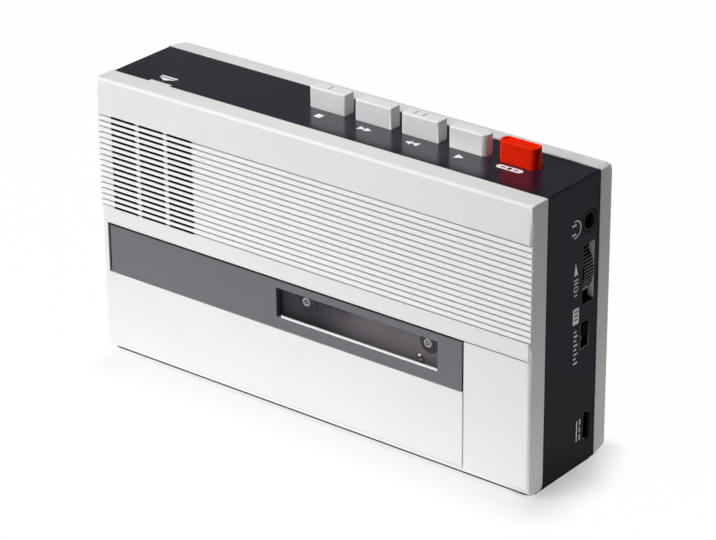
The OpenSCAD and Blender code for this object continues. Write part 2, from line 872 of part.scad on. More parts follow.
// Reel hub: a disc behind the well's floor, a collar, and a tube with three driving fins
module spindle(x) {
    fin_t = 0.9;
    fin_r = 2.95;
    fin_in = 1.3;
    tube_r = 1.9;
    chamfer = 0.4;
    tip = 0.7;
    disc_r = 9.5;
    disc_front = cover_back + 2 * gap;
    disc_back = plate_front - 4 * gap;
    collar_y = well_floor - collar_rise;
    color("#2c2c30")
        difference() {
            union() {
                turned(x, reel_z)
                    polygon([[0, spindle_tip], [tube_r - chamfer, spindle_tip], [tube_r, spindle_tip + tip],
                        [tube_r, collar_y], [collar_r - chamfer, collar_y], [collar_r, collar_y + chamfer],
                        [collar_r, disc_front], [disc_r, disc_front], [disc_r, disc_back], [0, disc_back]]);
                for (turn = [0:120:240])
                    translate([x, 0, reel_z])
                        rotate([0, turn, 0])
                            box(-fin_t / 2, fin_t / 2, spindle_tip + fin_in, collar_y + chamfer, 0, fin_r);
            }
            rod_y(x, reel_z, shaft_r + press, spindle_tip - over, disc_back + over);
        }
}

module takeup_spindle() {
    spindle(takeup_x);
}

module supply_spindle() {
    spindle(supply_x);
}

module takeup_shaft() {
    tail = 3.6;
    color("silver")
        rod_y(takeup_x, reel_z, shaft_r, spindle_tip + gap, plate_back + tail);
}

// The supply reel's shaft has a turned collar behind the deck plate
module supply_shaft() {
    tail = 2.4;
    stop_r = 2.2;
    stop_t = 1;
    color("silver") {
        rod_y(supply_x, reel_z, shaft_r, spindle_tip + gap, plate_back + tail);
        rod_y(supply_x, reel_z, stop_r, plate_back + pulley_room, plate_back + pulley_room + stop_t);
    }
}

module takeup_pulley() {
    y0 = plate_back + pulley_room;
    y1 = y0 + 2.3;
    rim_t = 0.3;
    rim_r = reel_pulley_r + 0.6;
    slope = 0.1;
    color("#2c2c30")
        turned(takeup_x, reel_z)
            polygon([[shaft_r + press, y0], [rim_r, y0], [rim_r, y0 + rim_t],
                [reel_pulley_r, y0 + rim_t + slope], [reel_pulley_r, y1 - rim_t - slope],
                [rim_r, y1 - rim_t], [rim_r, y1], [shaft_r + press, y1]]);
}

module capstan_shaft() {
    capstan_reach = 8;
    tail = 2.4;
    color("silver")
        rod_y(capstan[0], capstan[1], shaft_r, well_floor - capstan_reach, fly_back + tail);
}

module flywheel() {
    rim = flywheel_r - 3;
    web_in = 1;
    web = [fly_front + web_in, fly_back - web_in];
    hub_front = plate_back + pulley_room;
    hub_back = fly_back + 0.7;
    color("darkgray")
        turned(capstan[0], capstan[1])
            polygon([[shaft_r + press, hub_front], [flywheel_pulley_r, hub_front],
                [flywheel_pulley_r, web[0]], [rim, web[0]], [rim, fly_front], [flywheel_r, fly_front],
                [flywheel_r, fly_back], [rim, fly_back], [rim, web[1]], [flywheel_pulley_r, web[1]],
                [flywheel_pulley_r, hub_back], [shaft_r + press, hub_back]]);
}

// Strap behind the flywheel that holds the capstan's end, on two posts
module flywheel_bracket() {
    strap_y = fly_back + 1.2;
    strap_t = 1;
    strap_half = 3;
    corner = 1;
    reach = flywheel_r + strap_half;
    color("silver")
        difference() {
            union() {
                from_front(strap_y, strap_y + strap_t)
                    rounded(capstan[0] - reach - strap_half, capstan[0] + reach + strap_half,
                        capstan[1] - strap_half, capstan[1] + strap_half, [for (i = [1:4]) corner]);
                for (x = [-reach, reach])
                    rod_y(capstan[0] + x, capstan[1], post_r, plate_back, strap_y + strap_t / 2);
            }
            rod_y(capstan[0], capstan[1], shaft_r + running, strap_y - over, strap_y + strap_t + over);
        }
}

module motor_can() {
    can_front = fly_back + 0.7;
    can_back = back - wall - 0.4;
    bevel = 0.6;
    bore = 4;
    color("darkgray")
        difference() {
            turned(motor[0], motor[1])
                polygon([[0, can_front - motor_boss_h], [motor_boss_r, can_front - motor_boss_h],
                    [motor_boss_r, can_front], [motor_r - bevel, can_front], [motor_r, can_front + bevel],
                    [motor_r, can_back - bevel], [motor_r - bevel, can_back], [0, can_back]]);
            rod_y(motor[0], motor[1], motor_shaft_r + running, can_front - over, can_front + bore);
        }
}

// Plate that carries the motor, on two posts from the deck plate
module motor_bracket() {
    plate_y = fly_back - 0.1;
    sheet = 0.8;
    arm = 6;
    pad = 2.5;
    foot_z = capstan[1] - flywheel_r - 4;
    feet = [capstan[0] - 17, capstan[0] - 9];
    color("silver")
        difference() {
            union() {
                from_front(plate_y, plate_y + sheet) {
                    translate(motor) circle(motor_r + 0.5);
                    rounded(motor[0] - arm, feet[1] + pad, foot_z - pad, foot_z + pad, [for (i = [1:4]) 2]);
                    rounded(motor[0] - arm, motor[0] + arm, foot_z, motor[1], [0, 0, 0, 0]);
                }
                for (x = feet)
                    rod_y(x, foot_z, post_r, plate_back, plate_y + sheet / 2);
            }
            rod_y(motor[0], motor[1], motor_boss_r + press, plate_y - over, plate_y + sheet + over);
        }
}

module motor_shaft() {
    nose = 1;
    tail = 3.5;
    color("silver")
        rod_y(motor[0], motor[1], motor_shaft_r, main_belt_y - nose, fly_back + tail);
}

module motor_pulley() {
    color("goldenrod")
        difference() {
            rod_y(motor[0], motor[1], motor_pulley_r, main_belt_y - gap, main_belt_y + belt_w);
            rod_y(motor[0], motor[1], motor_shaft_r + press, main_belt_y - over,
                main_belt_y + belt_w + over);
        }
}

module drive_belt() {
    color("black")
        belt(capstan, flywheel_r, motor, motor_pulley_r, main_belt_y, belt_w);
}

module reel_belt() {
    color("black")
        belt(capstan, flywheel_pulley_r, [takeup_x, reel_z], reel_pulley_r, reel_belt_y, reel_belt_w);
}

// Heads

// Sliding plate with slots for its guide pins and a bent shelf over each head
module head_plate() {
    tape_half = 8;
    erase_half = 4.5;
    plate_x = [bay_x - 17.2, bay_x + 30.3];
    low = capstan[1] - 2.4;
    tape_shelf = head_rest + tape_head_h;
    erase_shelf = head_rest + erase_head_h;
    bend = head_plate_y + head_plate_t / 2;
    slot_back = head_plate_y + head_plate_t + over;
    color("silver")
        difference() {
            union() {
                box(plate_x[0], plate_x[1], head_plate_y, head_plate_y + head_plate_t, low,
                    flange_low - lug_gap);
                box(bay_x - tape_half, bay_x + tape_half, well_floor - head_reach, bend, tape_shelf,
                    tape_shelf + head_plate_t);
                box(erase_x - erase_half, erase_x + erase_half, well_floor - erase_reach, bend, erase_shelf,
                    erase_shelf + head_plate_t);
            }
            for (place = head_guides) {
                box(place[0] - shaft_r - running, place[0] + shaft_r + running, head_plate_y - over,
                    slot_back, place[1], place[1] + head_travel + gap);
                for (z = [-gap / 2, head_travel + gap])
                    rod_y(place[0], place[1] + z, shaft_r + running, head_plate_y - over, slot_back);
            }
        }
}

module tape_head() {
    face_r = 14;
    color("gainsboro")
        from_front(well_floor - head_reach, well_floor - 0.9)
            intersection() {
                translate([bay_x - tape_head_w / 2, head_rest]) square([tape_head_w, tape_head_h]);
                translate([bay_x, head_rest + face_r]) circle(face_r);
            }
}

module erase_head() {
    face_r = 9;
    color("gainsboro")
        from_front(well_floor - erase_reach, well_floor - 2)
            intersection() {
                translate([erase_x - erase_head_w / 2, head_rest]) square([erase_head_w, erase_head_h]);
                translate([erase_x, head_rest + face_r]) circle(face_r);
            }
}

// Arm that swings the pinch roller onto the capstan, with its hub and the roller's axle
module pinch_arm() {
    arm_y = well_floor - 1.4;
    arm_t = 1;
    arm_half = 1.8;
    reach = pinch_rest - pinch_pivot;
    color("silver")
        difference() {
            union() {
                from_front(arm_y, arm_y + arm_t) {
                    translate(pinch_pivot)
                        rotate(atan2(reach[1], reach[0]))
                            translate([0, -arm_half])
                                square([norm(reach), 2 * arm_half]);
                    translate(pinch_pivot) circle(pinch_hub_r);
                    translate(pinch_rest) circle(pinch_hub_r);
                }
                rod_y(pinch_pivot[0], pinch_pivot[1], pinch_hub_r - 0.2, arm_y + arm_t / 2,
                    plate_front - 2 * gap);
                rod_y(pinch_rest[0], pinch_rest[1], pinch_axle_r, well_floor - head_reach - gap,
                    arm_y + arm_t / 2);
            }
            rod_y(pinch_pivot[0], pinch_pivot[1], shaft_r + running, arm_y - over, plate_front);
        }
}

module pinch_roller() {
    color("#222222")
        difference() {
            rod_y(pinch_rest[0], pinch_rest[1], pinch_r, well_floor - head_reach, well_floor - 1.7);
            rod_y(pinch_rest[0], pinch_rest[1], pinch_axle_r + running,
                well_floor - head_reach - over, well_floor);
        }
}

// Keys

// Rail under the keys that their springs stand on, hung from the top panel at its ends
module key_guide() {
    x0 = key_x - key_w / 2 - 3;
    x1 = key_x + 4 * key_pitch + key_w / 2 + 3;
    y0 = key_front - 2 * gap;
    y1 = plate_back + 3.1;
    color("#2b2b2f") {
        box(x0, x1, y0, y1, guide_top - guide_t, guide_top);
        for (x = [x0, x1 - guide_end])
            box(x, x + guide_end, y0, y1, guide_top - guide_t, in_top);
    }
}

// One key: a cap that passes through the top panel and a flange that stops it from below
module key(i, tint) {
    x = key_x + i * key_pitch;
    top = mid_top + key_rise;
    dish_in = 0.8;
    lug = i == 3 ? play_lug : 0;
    color(tint)
        difference() {
            union() {
                intersection() {
                    from_top(flange_low, top) key_outline(i, 0);
                    from_side(x - key_w, x + key_w)
                        rounded(key_front, key_back, flange_low, top, [0, 0, key_top_r, key_top_r]);
                }
                box(x - key_w / 2 - flange_over, x + key_w / 2 + flange_over,
                    key_front - flange_over / 2 - lug, key_back + flange_over / 2, flange_low, flange_top);
            }
            if (i == 4)
                from_top(top - dish_depth, top + over)
                    rounded(x - key_w / 2 + dish_in, x + key_w / 2 - dish_in, key_front + dish_in,
                        key_back - dish_in, [for (k = [1:4]) key_end_r - dish_in]);
        }
}

module stop_key() {
    key(0, "gainsboro");
}

module forward_key() {
    key(1, "gainsboro");
}

module rewind_key() {
    key(2, "gainsboro");
}

module play_key() {
    key(3, "gainsboro");
}

module record_key() {
    key(4, "orangered");
}

// Coil spring under a key, drawn as the sleeve that its coils fill
module key_spring(i) {
    x = key_x + i * key_pitch;
    wire = 0.5;
    color("silver")
        translate([x, (key_front + key_back) / 2, guide_top])
            difference() {
                cylinder(r = key_spring_r, h = key_spring_len);
                translate([0, 0, -over])
                    cylinder(r = key_spring_r - wire, h = key_spring_len + 2 * over);
            }
}

module stop_spring() {
    key_spring(0);
}

module forward_spring() {
    key_spring(1);
}

module rewind_spring() {
    key_spring(2);
}

module play_spring() {
    key_spring(3);
}

module record_spring() {
    key_spring(4);
}

// Sound and electronics

module speaker_frame() {
    y0 = baffle_back;
    sheet = 0.8;
    y1 = y0 + speaker_deep;
    bottom = y1 - 0.6;
    basket_r = 9.2;
    hole_r = 4;
    color("silver")
        turned(speaker_x, speaker_z)
            polygon([[speaker_hole_r, y0], [speaker_r, y0], [speaker_r, y0 + sheet],
                [speaker_hole_r + 1.2, y0 + sheet], [basket_r, bottom], [basket_r, y1], [hole_r, y1],
                [hole_r, bottom], [basket_r - sheet, bottom], [speaker_hole_r, y0 + sheet]]);
}

module speaker_cone() {
    paper = 0.4;
    rim_r = speaker_hole_r - gap;
    roll_r = 11;
    dome_r = 3.2;
    rim_y = baffle_back + 0.4;
    roll_y = baffle_back + 0.6;
    deep_y = baffle_back + 4;
    dome_y = baffle_back + 2.8;
    color("#1c1c1c")
        turned(speaker_x, speaker_z)
            polygon([[0, dome_y], [dome_r, deep_y], [roll_r, roll_y], [rim_r, rim_y], [rim_r,
                rim_y + paper],
                [roll_r, roll_y + paper], [dome_r, deep_y + paper], [0, dome_y + paper]]);
}

module speaker_magnet() {
    magnet_r = 8.5;
    magnet_t = 4;
    y0 = baffle_back + speaker_deep;
    color("dimgray")
        rod_y(speaker_x, speaker_z, magnet_r, y0, y0 + magnet_t);
}

module microphone() {
    color("silver")
        translate([mic_x, mic_y, in_top - mic_h])
            cylinder(r = mic_r, h = mic_h);
}

module main_board() {
    low = usb_z - 7.1;
    top = jack_z + 4;
    color("darkgreen")
        box(in_right - gap - board_w, in_right - gap, board_front, board_front + board_t, low, top);
}

// Jack with a collar through the side wall and a plug bore of the standard size
module headphone_jack() {
    half = 2.85;
    end_wall = 0.5;
    inner = mid_right - jack_bore_len;
    flare = (jack_mouth_r - jack_bore_r) / jack_mouth;
    color("#1c1c1e")
        difference() {
            union() {
                box(inner - end_wall, in_right - press, jack_y - half, board_front, jack_z - half,
                    jack_z + half);
                rod_x(jack_y, jack_z, jack_collar_r, in_right - gap / 2, mid_right);
            }
            rod_x(jack_y, jack_z, jack_bore_r, inner, mid_right);
            translate([mid_right + over, jack_y, jack_z])
                rotate([0, -90, 0])
                    cylinder(h = jack_mouth + over, r1 = jack_mouth_r + flare * over, r2 = jack_bore_r);
        }
}

module volume_pot() {
    pot_r = 6.5;
    floor_t = 0.6;
    y0 = wheel_y - wheel_w / 2 + wheel_face + 2 * gap;
    color("#24406a")
        difference() {
            rod_y(wheel_x, wheel_z, pot_r, y0, board_front);
            rod_y(wheel_x, wheel_z, spigot_r + running, y0 - over, board_front - floor_t);
        }
}

// Grooved cup that turns over the potentiometer, with a spigot in its middle
module volume_wheel() {
    y0 = wheel_y - wheel_w / 2;
    y1 = wheel_y + wheel_w / 2;
    bevel = 0.3;
    rim = wheel_r - 2.4;
    spigot_end = y0 + 3.8;
    groove = 0.4;
    groove_out = 0.1;
    color("#232326")
        difference() {
            turned(wheel_x, wheel_z)
                polygon([[0, y0], [wheel_r - bevel, y0], [wheel_r, y0 + bevel], [wheel_r, y1 - bevel],
                    [wheel_r - bevel, y1], [rim, y1], [rim, y0 + wheel_face], [spigot_r, y0 + wheel_face],
                    [spigot_r, spigot_end], [0, spigot_end]]);
            for (i = [0:wheel_grooves - 1])
                translate([wheel_x, 0, wheel_z])
                    rotate([0, i * 360 / wheel_grooves, 0])
                        rod_y(wheel_r + groove_out, 0, groove, y0 - over, y1 + over);
        }
}

module switch_body() {
    deep = 6.2;
    side = 0.4;
    end_wall = 2;
    color("#1c1c1e")
        difference() {
            box(in_right - deep, in_right - gap, switch_y - switch_slot_w / 2 - side, board_front,
                switch_z - switch_slot / 2 - end_wall, switch_z + switch_slot / 2 + end_wall);
            box(in_right - deep + end_wall, right, switch_y - switch_slot_w / 2,
                switch_y + switch_slot_w / 2,
                switch_z - switch_slot / 2, switch_z + switch_slot / 2);
        }
}

module switch_knob() {
    half_w = switch_slot_w / 2 - gap;
    top = switch_z + switch_slot / 2 - gap;
    inner = in_right - 4;
    outer = right + 0.15;
    notch = 0.2;
    color("#232326")
        difference() {
            box(inner, outer, switch_y - half_w, switch_y + half_w, top - switch_knob_h, top);
            for (i = [1:3])
                translate([outer, 0, top - i * switch_knob_h / 4])
                    rotate([0, 45, 0])
                        box(-notch, notch, switch_y - half_w - over, switch_y + half_w + over,
                            -notch, notch);
        }
}

// Charging socket: a drawn shell, its contact tongue and two feet on the board
module usb_socket() {
    shell_t = 0.35;
    shell_in = in_right - 7;
    tongue_in = 1.2;
    tongue_half = 3.3;
    foot = [0.5, 3.5];
    foot_z = 2.5;
    foot_half = 0.5;
    color("silver") {
        difference() {
            from_side(shell_in, mid_right - gap) usb_outline(0);
            from_side(shell_in + 1, right) usb_outline(-shell_t);
        }
        box(shell_in + foot[0], mid_right - tongue_in, usb_y - shell_t, usb_y + shell_t,
            usb_z - tongue_half,
            usb_z + tongue_half);
        for (z = [-foot_z, foot_z])
            box(shell_in + foot[0], shell_in + foot[1], usb_y + usb_w / 2 - shell_t / 2, board_front,
                usb_z + z - foot_half, usb_z + z + foot_half);
    }
}

// Power

module battery_tray() {
    floor_y = cell_y - cell_r - gap;
    color("#2b2b2f")
        difference() {
            box(tray_left, tray_right, floor_y - tray_wall, rear_joint, wall, tray_top);
            box(tray_left + tray_wall, tray_right - tray_wall, floor_y, rear_joint + over, wall + tray_wall,
                tray_top - tray_wall);
        }
}

module battery_cells() {
    x0 = tray_left + tray_wall + contact_room;
    x1 = x0 + cell_len;
    nub_h = 1;
    nub_r = 2.75;
    color("steelblue") {
        rod_x(cell_y, cell_z[0], cell_r, x0, x1 - nub_h);
        rod_x(cell_y, cell_z[0], nub_r, x1 - nub_h, x1);
        rod_x(cell_y, cell_z[1], cell_r, x0 + nub_h, x1);
        rod_x(cell_y, cell_z[1], nub_r, x0, x0 + nub_h);
    }
}

// Springs and plates at the cells' ends
module battery_contacts() {
    leaf = 0.4;
    half = 4;
    coil_r = 2.5;
    touch = 0.1;
    x0 = tray_left + tray_wall;
    x1 = tray_right - tray_wall;
    color("silver")
        for (z = cell_z) {
            box(x0, x0 + leaf, cell_y - half, cell_y + half, z - half, z + half);
            rod_x(cell_y, z, coil_r, x0 + leaf / 2, x0 + contact_room - touch);
            box(x1 - leaf, x1, cell_y - half, cell_y + half, z - half, z + half);
            rod_x(cell_y, z, coil_r, x1 - contact_room + touch, x1 - leaf / 2);
        }
}

// Door in the rear cover: it pivots on its rounded lower edge, with two tongues behind the cover
module battery_door() {
    tongue_w = 6;
    tongue_x = 10;
    tongue_t = 0.8;
    tongue_low = door_low - 1.6;
    tongue_step = door_low + 2;
    tongue_top = door_low + 4;
    inside = back - wall;
    root = inside + 0.2;
    notch_r = 5;
    color("whitesmoke") {
        difference() {
            union() {
                box(door_left, door_right, back - wall, back, door_axis_z, door_top);
                rod_x(door_axis_y, door_axis_z, wall / 2, door_left, door_right);
            }
            // finger notch
            rod_y((door_left + door_right) / 2, door_top, notch_r, back - wall / 2, back + over);
        }
        for (x = [door_left + tongue_x, door_right - tongue_x])
            from_side(x - tongue_w / 2, x + tongue_w / 2)
                polygon([[root, tongue_top], [inside - gap - tongue_t, tongue_top],
                    [inside - gap - tongue_t, tongue_low], [inside - gap, tongue_low],
                    [inside - gap, tongue_step], [root, tongue_step]]);
    }
}

front_lid();
window_panel();
window_lens();
grille_cloth();
hinge_pins();
cassette_carrier();
cassette_spring();
mid_frame();
rear_cover();
case_screws();
deck_cover();
deck_plate();
deck_screws();
deck_pins();
shaft_bushes();
takeup_shaft();
takeup_spindle();
takeup_pulley();
supply_shaft();
supply_spindle();
capstan_shaft();
flywheel();
flywheel_bracket();
motor_can();
motor_bracket();
motor_shaft();
motor_pulley();
drive_belt();
reel_belt();
head_plate();
tape_head();
erase_head();
pinch_arm();
pinch_roller();
key_guide();
stop_key();
forward_key();
rewind_key();
play_key();
record_key();
stop_spring();
forward_spring();
rewind_spring();
play_spring();
record_spring();
speaker_frame();
speaker_cone();
speaker_magnet();
microphone();
main_board();
headphone_jack();
volume_pot();
volume_wheel();
switch_body();
switch_knob();
usb_socket();
battery_tray();
battery_cells();
battery_contacts();
battery_door();
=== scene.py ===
import json
import math

import bmesh
import bpy
from mathutils import Matrix, Vector


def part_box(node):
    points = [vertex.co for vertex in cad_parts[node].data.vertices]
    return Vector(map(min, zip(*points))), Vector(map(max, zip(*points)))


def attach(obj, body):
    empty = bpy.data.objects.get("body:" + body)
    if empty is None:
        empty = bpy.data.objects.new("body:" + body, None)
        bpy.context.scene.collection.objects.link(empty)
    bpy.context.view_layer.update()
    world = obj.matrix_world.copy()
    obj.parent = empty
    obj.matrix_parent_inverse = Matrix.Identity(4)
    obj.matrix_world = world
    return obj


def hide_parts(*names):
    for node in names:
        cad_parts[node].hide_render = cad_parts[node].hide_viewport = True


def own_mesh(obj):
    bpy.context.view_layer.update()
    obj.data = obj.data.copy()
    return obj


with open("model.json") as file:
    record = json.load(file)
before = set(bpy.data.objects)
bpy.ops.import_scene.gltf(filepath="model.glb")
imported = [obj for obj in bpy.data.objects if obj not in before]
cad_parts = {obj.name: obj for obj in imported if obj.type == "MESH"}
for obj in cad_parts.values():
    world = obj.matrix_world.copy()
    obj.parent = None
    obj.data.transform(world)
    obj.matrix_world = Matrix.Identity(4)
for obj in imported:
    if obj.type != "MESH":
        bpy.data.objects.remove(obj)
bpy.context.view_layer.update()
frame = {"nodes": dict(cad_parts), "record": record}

scene = bpy.context.scene
MM = 0.001

# The camera stands to the right of the player and above it, where the photograph was taken.
# A long lens from a little under a metre keeps the upright edges nearly parallel.
eye = Vector((0.48457, -0.60856, 0.40366))
round_by, down_by, lean = (math.radians(angle) for angle in (38.3223, 25.0779, -0.4685))
lens_length, film_width, nearest = 153.48, 36, 0.01
away = Vector((
    math.sin(round_by) * math.cos(down_by),
    -math.cos(round_by) * math.cos(down_by),
    math.sin(down_by)))
level = Vector((math.cos(round_by), math.sin(round_by), 0))
upright = away.cross(level)
camera = bpy.data.objects.new("camera", bpy.data.cameras.new("camera"))
camera.data.lens = lens_length
camera.data.sensor_width = film_width
camera.data.clip_start = nearest
camera.matrix_world = Matrix.Translation(eye) @ Matrix((
    level * math.cos(lean) + upright * math.sin(lean),
    upright * math.cos(lean) - level * math.sin(lean),
    away,
)).transposed().to_4x4()
scene.collection.objects.link(camera)
scene.camera = camera
scene.view_settings.view_transform = "Standard"


# The studio is a white table top under one broad lamp at the front left and a weak one above.
# The room shows white in the picture, in gloss and through clear plastic, and gives only a little light.
# The table's white fades to its lit surface near the player, a painted shade in which its real shadow shows.
class Shade:
    """A shader socket that takes sums and products, and feeds further nodes."""

    def __init__(self, tree, socket=None):
        self.tree = tree
        self.socket = socket

    def node(self, kind, settings=None, sockets=None, out=0):
        made = self.tree.nodes.new("ShaderNode" + kind)
        for key, value in (settings or {}).items():
            setattr(made, key, value)
        self.feed(made, sockets or {})
        return Shade(self.tree, made.outputs[out])

    def feed(self, made, sockets):
        for key, value in sockets.items():
            if isinstance(value, Shade):
                self.tree.links.new(value.socket, made.inputs[key])
            else:
                made.inputs[key].default_value = value

    def math(self, operation, first, second=0.0):
        return self.node("Math", {"operation": operation}, {0: first, 1: second})

    def __add__(self, other):
        return self.math("ADD", self, other)

    def __radd__(self, other):
        return self.math("ADD", other, self)

    def __sub__(self, other):
        return self.math("SUBTRACT", self, other)

    def __rsub__(self, other):
        return self.math("SUBTRACT", other, self)

    def __mul__(self, other):
        return self.math("MULTIPLY", self, other)

    def __rmul__(self, other):
        return self.math("MULTIPLY", other, self)

    def __gt__(self, other):
        return self.math("GREATER_THAN", self, other)

    def __lt__(self, other):
        return self.math("LESS_THAN", self, other)

    def __abs__(self):
        return self.math("ABSOLUTE", self)

    def largest(self, other):
        return self.math("MAXIMUM", self, other)

    def root(self):
        return self.math("SQRT", self)

    def swing(self, width):
        """A value from 0 to 1 spread over a width round nought."""
        return (self - 0.5) * width

    def between(self, low, high):
        """The first colour where this value is 0, the second where it is 1."""
        return self.node("Mix", {"data_type": "RGBA"}, {0: self, 6: low, 7: high}, out=2)

    def ramp(self, low, high, first=0.0, last=1.0, smooth=False):
        """The first number up to low, the last from high on."""
        return self.node("MapRange", {"interpolation_type": "SMOOTHSTEP" if smooth else "LINEAR"}, {
            "Value": self, "From Min": low, "From Max": high, "To Min": first, "To Max": last})

    def axis(self, number):
        """One coordinate of a place."""
        return self.node("SeparateXYZ", None, {0: self}, out=number)

    def noise(self, scale, detail):
        return self.node("TexNoise", None, {"Vector": self, "Scale": scale, "Detail": detail})

    def streaks(self, scales, detail):
        """Noise drawn out along an axis with a small scale."""
        drawn_out = self.node("Mapping", {"vector_type": "POINT"}, {"Vector": self, "Scale": scales})
        return drawn_out.noise(1.0, detail)

    def bump(self, strength, depth):
        return self.node("Bump", None, {"Strength": strength, "Distance": depth, "Height": self})


def seen_directly(tree):
    """1 for rays that show the room to the eye, in gloss or through clear plastic.

    0 for light that falls on matt surfaces.
    """
    path = tree.nodes.new("ShaderNodeLightPath")
    camera_ray, glossy_ray, clear_ray = (
        Shade(tree, path.outputs[name]) for name in ("Is Camera Ray", "Is Glossy Ray", "Is Transmission Ray"))
    return camera_ray.math("MINIMUM", camera_ray + glossy_ray + clear_ray, 1.0)


white = (1, 1, 1, 1)
room_light, wall_seen, ceiling_seen = 0.04, 1.0, 0.04
wall_top, ceiling_edge = 0.15, 0.31
room = bpy.data.worlds.new("room")
room.use_nodes = True
scene.world = room
room_tree = room.node_tree
room_way = Shade(room_tree).node("TexCoord", out=0)
room_seen = room_way.axis(2).ramp(wall_top, ceiling_edge, wall_seen, ceiling_seen)
room_way.feed(room_tree.nodes["Background"], {
    "Color": white,
    "Strength": room_light + seen_directly(room_tree) * (room_seen - room_light),
})


def lamp(name, place, aim, size, power):
    light = bpy.data.lights.new(name, "AREA")
    light.shape = "RECTANGLE"
    light.size = size
    light.size_y = size
    light.energy = power
    made = bpy.data.objects.new(name, light)
    made.location = place
    made.rotation_euler = (Vector(aim) - Vector(place)).to_track_quat("-Z", "Y").to_euler()
    scene.collection.objects.link(made)
    return light


player_middle = (0, 0, 0.045)
top_y, top_z, top_spread = -0.04, 0.6, math.radians(60)
lamp("front_lamp", (-0.62, -0.80, 0.46), player_middle, size=0.6, power=8.2)
lamp("top_lamp", (0, top_y, top_z), (0, top_y, 0), size=0.3, power=0.27).spread = top_spread

table_half, table_drop, table_rough = 3.0, -0.05 * MM, 0.18
table_near, table_far, table_fade = 0.4, 0.99, 17 * MM
shade_left_in, shade_left_fall, shade_back_fall = 10 * MM, 1.6, 0.4
touch_side, touch_front, touch_back, touch_r = 0.3 * MM, 1.9 * MM, 8 * MM, 2.5 * MM
table_pale, painted_contact_shadow = (0.9, 0.9, 0.9, 1), (0.04, 0.04, 0.04, 1)
bounce, bounce_reach = 0.35, 0.1
foot_x, foot_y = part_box("rear_cover")[1].x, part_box("rear_cover")[1].y
table_mesh = bpy.data.meshes.new("table_top")
table_mesh.from_pydata(
    [(-table_half, -table_half, table_drop), (table_half, -table_half, table_drop),
     (table_half, table_half, table_drop), (-table_half, table_half, table_drop)], [], [(0, 1, 2, 3)])
table_top = bpy.data.objects.new("table_top", table_mesh)
scene.collection.objects.link(table_top)
table_finish = bpy.data.materials.new("table_white")
table_finish.use_nodes = True
table_mesh.materials.append(table_finish)
table_tree = table_finish.node_tree
table_shader = table_tree.nodes["Principled BSDF"]
table_place = Shade(table_tree).node("TexCoord", out=3)
table_seen = seen_directly(table_tree)
table_x, table_y = table_place.axis(0), table_place.axis(1)
out_x = (abs(table_x) - foot_x).largest(0.0)
out_y = (abs(table_y) - foot_y).largest(0.0)
# Near the player the table glows for light on matt surfaces: a painted pool of bounce light.
painted_bounce_glow = (out_x * out_x + out_y * out_y).root().ramp(0.0, bounce_reach, bounce, 0.0, smooth=True)
# The painted shade round the player: less of the table's white shows close to it.
shade_x = out_x.largest((shade_left_in - foot_x - table_x) * shade_left_fall)
shade_off = (shade_x * shade_x + out_y * out_y).root() + shade_back_fall * table_y.largest(0.0)
painted_shade_share = shade_off.ramp(0.0, table_fade, table_near, table_far, smooth=True)
# Where the player stands the table is painted dark: a painted contact shadow.
touch_x = (abs(table_x) - (foot_x - touch_side - touch_r)).largest(0.0)
touch_y = (touch_front + touch_r - foot_y - table_y).largest(0.0)
in_painted_contact = (touch_x * touch_x + touch_y * touch_y < touch_r * touch_r) * (table_y < foot_y - touch_back)
table_place.feed(table_shader, {
    "Base Color": in_painted_contact.between(table_pale, painted_contact_shadow),
    "Roughness": table_rough,
    "Emission Color": painted_bounce_glow * (1 - table_seen),
    "Emission Strength": 1.0,
})
table_lit = Shade(table_tree, table_shader.outputs[0])
table_glow = table_place.node("Emission", None, {"Color": white, "Strength": 1.0})
table_mix = table_place.node("MixShader", None, {
    0: table_seen * painted_shade_share * (1 - in_painted_contact), 1: table_lit, 2: table_glow})
table_place.feed(table_tree.nodes["Material Output"], {"Surface": table_mix})

# The lid is the whole front of the case, one white moulding with ribs and speaker slots across its top half.
# It is hinged at its lower corners and carries the cassette; its edges are rounded by the mould.
# Its rib faces carry a painted highlight, a little whiter; its grooves and seams a painted grey shade.
body_of = {node: body for body, nodes in frame["record"]["behaviour"]["bodies"].items() for node in nodes}
weld_gap, flat_angle, crease_angle = 0.002 * MM, math.radians(0.5), math.radians(38)


def as_piece(name, mesh, material):
    """An object with its place in its mesh."""
    piece = bpy.data.objects.new(name, mesh)
    scene.collection.objects.link(piece)
    mesh.materials.clear()
    mesh.materials.append(material)
    return piece


def made_plain(piece):
    """Turns what a piece's modifiers make into its plain mesh."""
    made = bpy.data.meshes.new_from_object(piece.evaluated_get(bpy.context.evaluated_depsgraph_get()))
    made.name = piece.name
    piece.modifiers.clear()
    piece.data = made
    return piece


def evened(piece):
    """Smooth shading that keeps flat faces flat and creases sharp."""
    piece.data.shade_smooth()
    piece.data.set_sharp_from_angle(angle=crease_angle)
    piece.modifiers.new("even", "WEIGHTED_NORMAL").keep_sharp = True
    return made_plain(piece)


def mesh_of(name, shape):
    """Ends a shape as a mesh."""
    mesh = bpy.data.meshes.new(name)
    shape.to_mesh(mesh)
    shape.free()
    return mesh


def rounded(shape, edges, radius):
    """Rounds edges by a radius in millimetres."""
    bmesh.ops.bevel(shape, geom=edges, offset=radius * MM, segments=2, profile=0.5, affect="EDGES",
                    clamp_overlap=False)


def stands_for(piece, node):
    """Puts a piece in the place of a frame node, on that node's body."""
    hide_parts(node)
    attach(piece, body_of[node])
    return piece


def moulded(node, name, material, radius=0.0, shortest=0.8):
    """A welded copy of a frame node with its longer outer edges rounded, standing for that node."""
    shape = bmesh.new()
    shape.from_mesh(frame["nodes"][node].data)
    bmesh.ops.remove_doubles(shape, verts=shape.verts, dist=weld_gap)
    bmesh.ops.dissolve_limit(shape, angle_limit=flat_angle, verts=shape.verts, edges=shape.edges)
    if radius:
        rounded(shape, [
            edge for edge in shape.edges if edge.is_convex and edge.calc_length() > shortest * MM
            and edge.calc_face_angle(0) > crease_angle], radius)
    return stands_for(evened(as_piece(name, mesh_of(name, shape), material)), node)


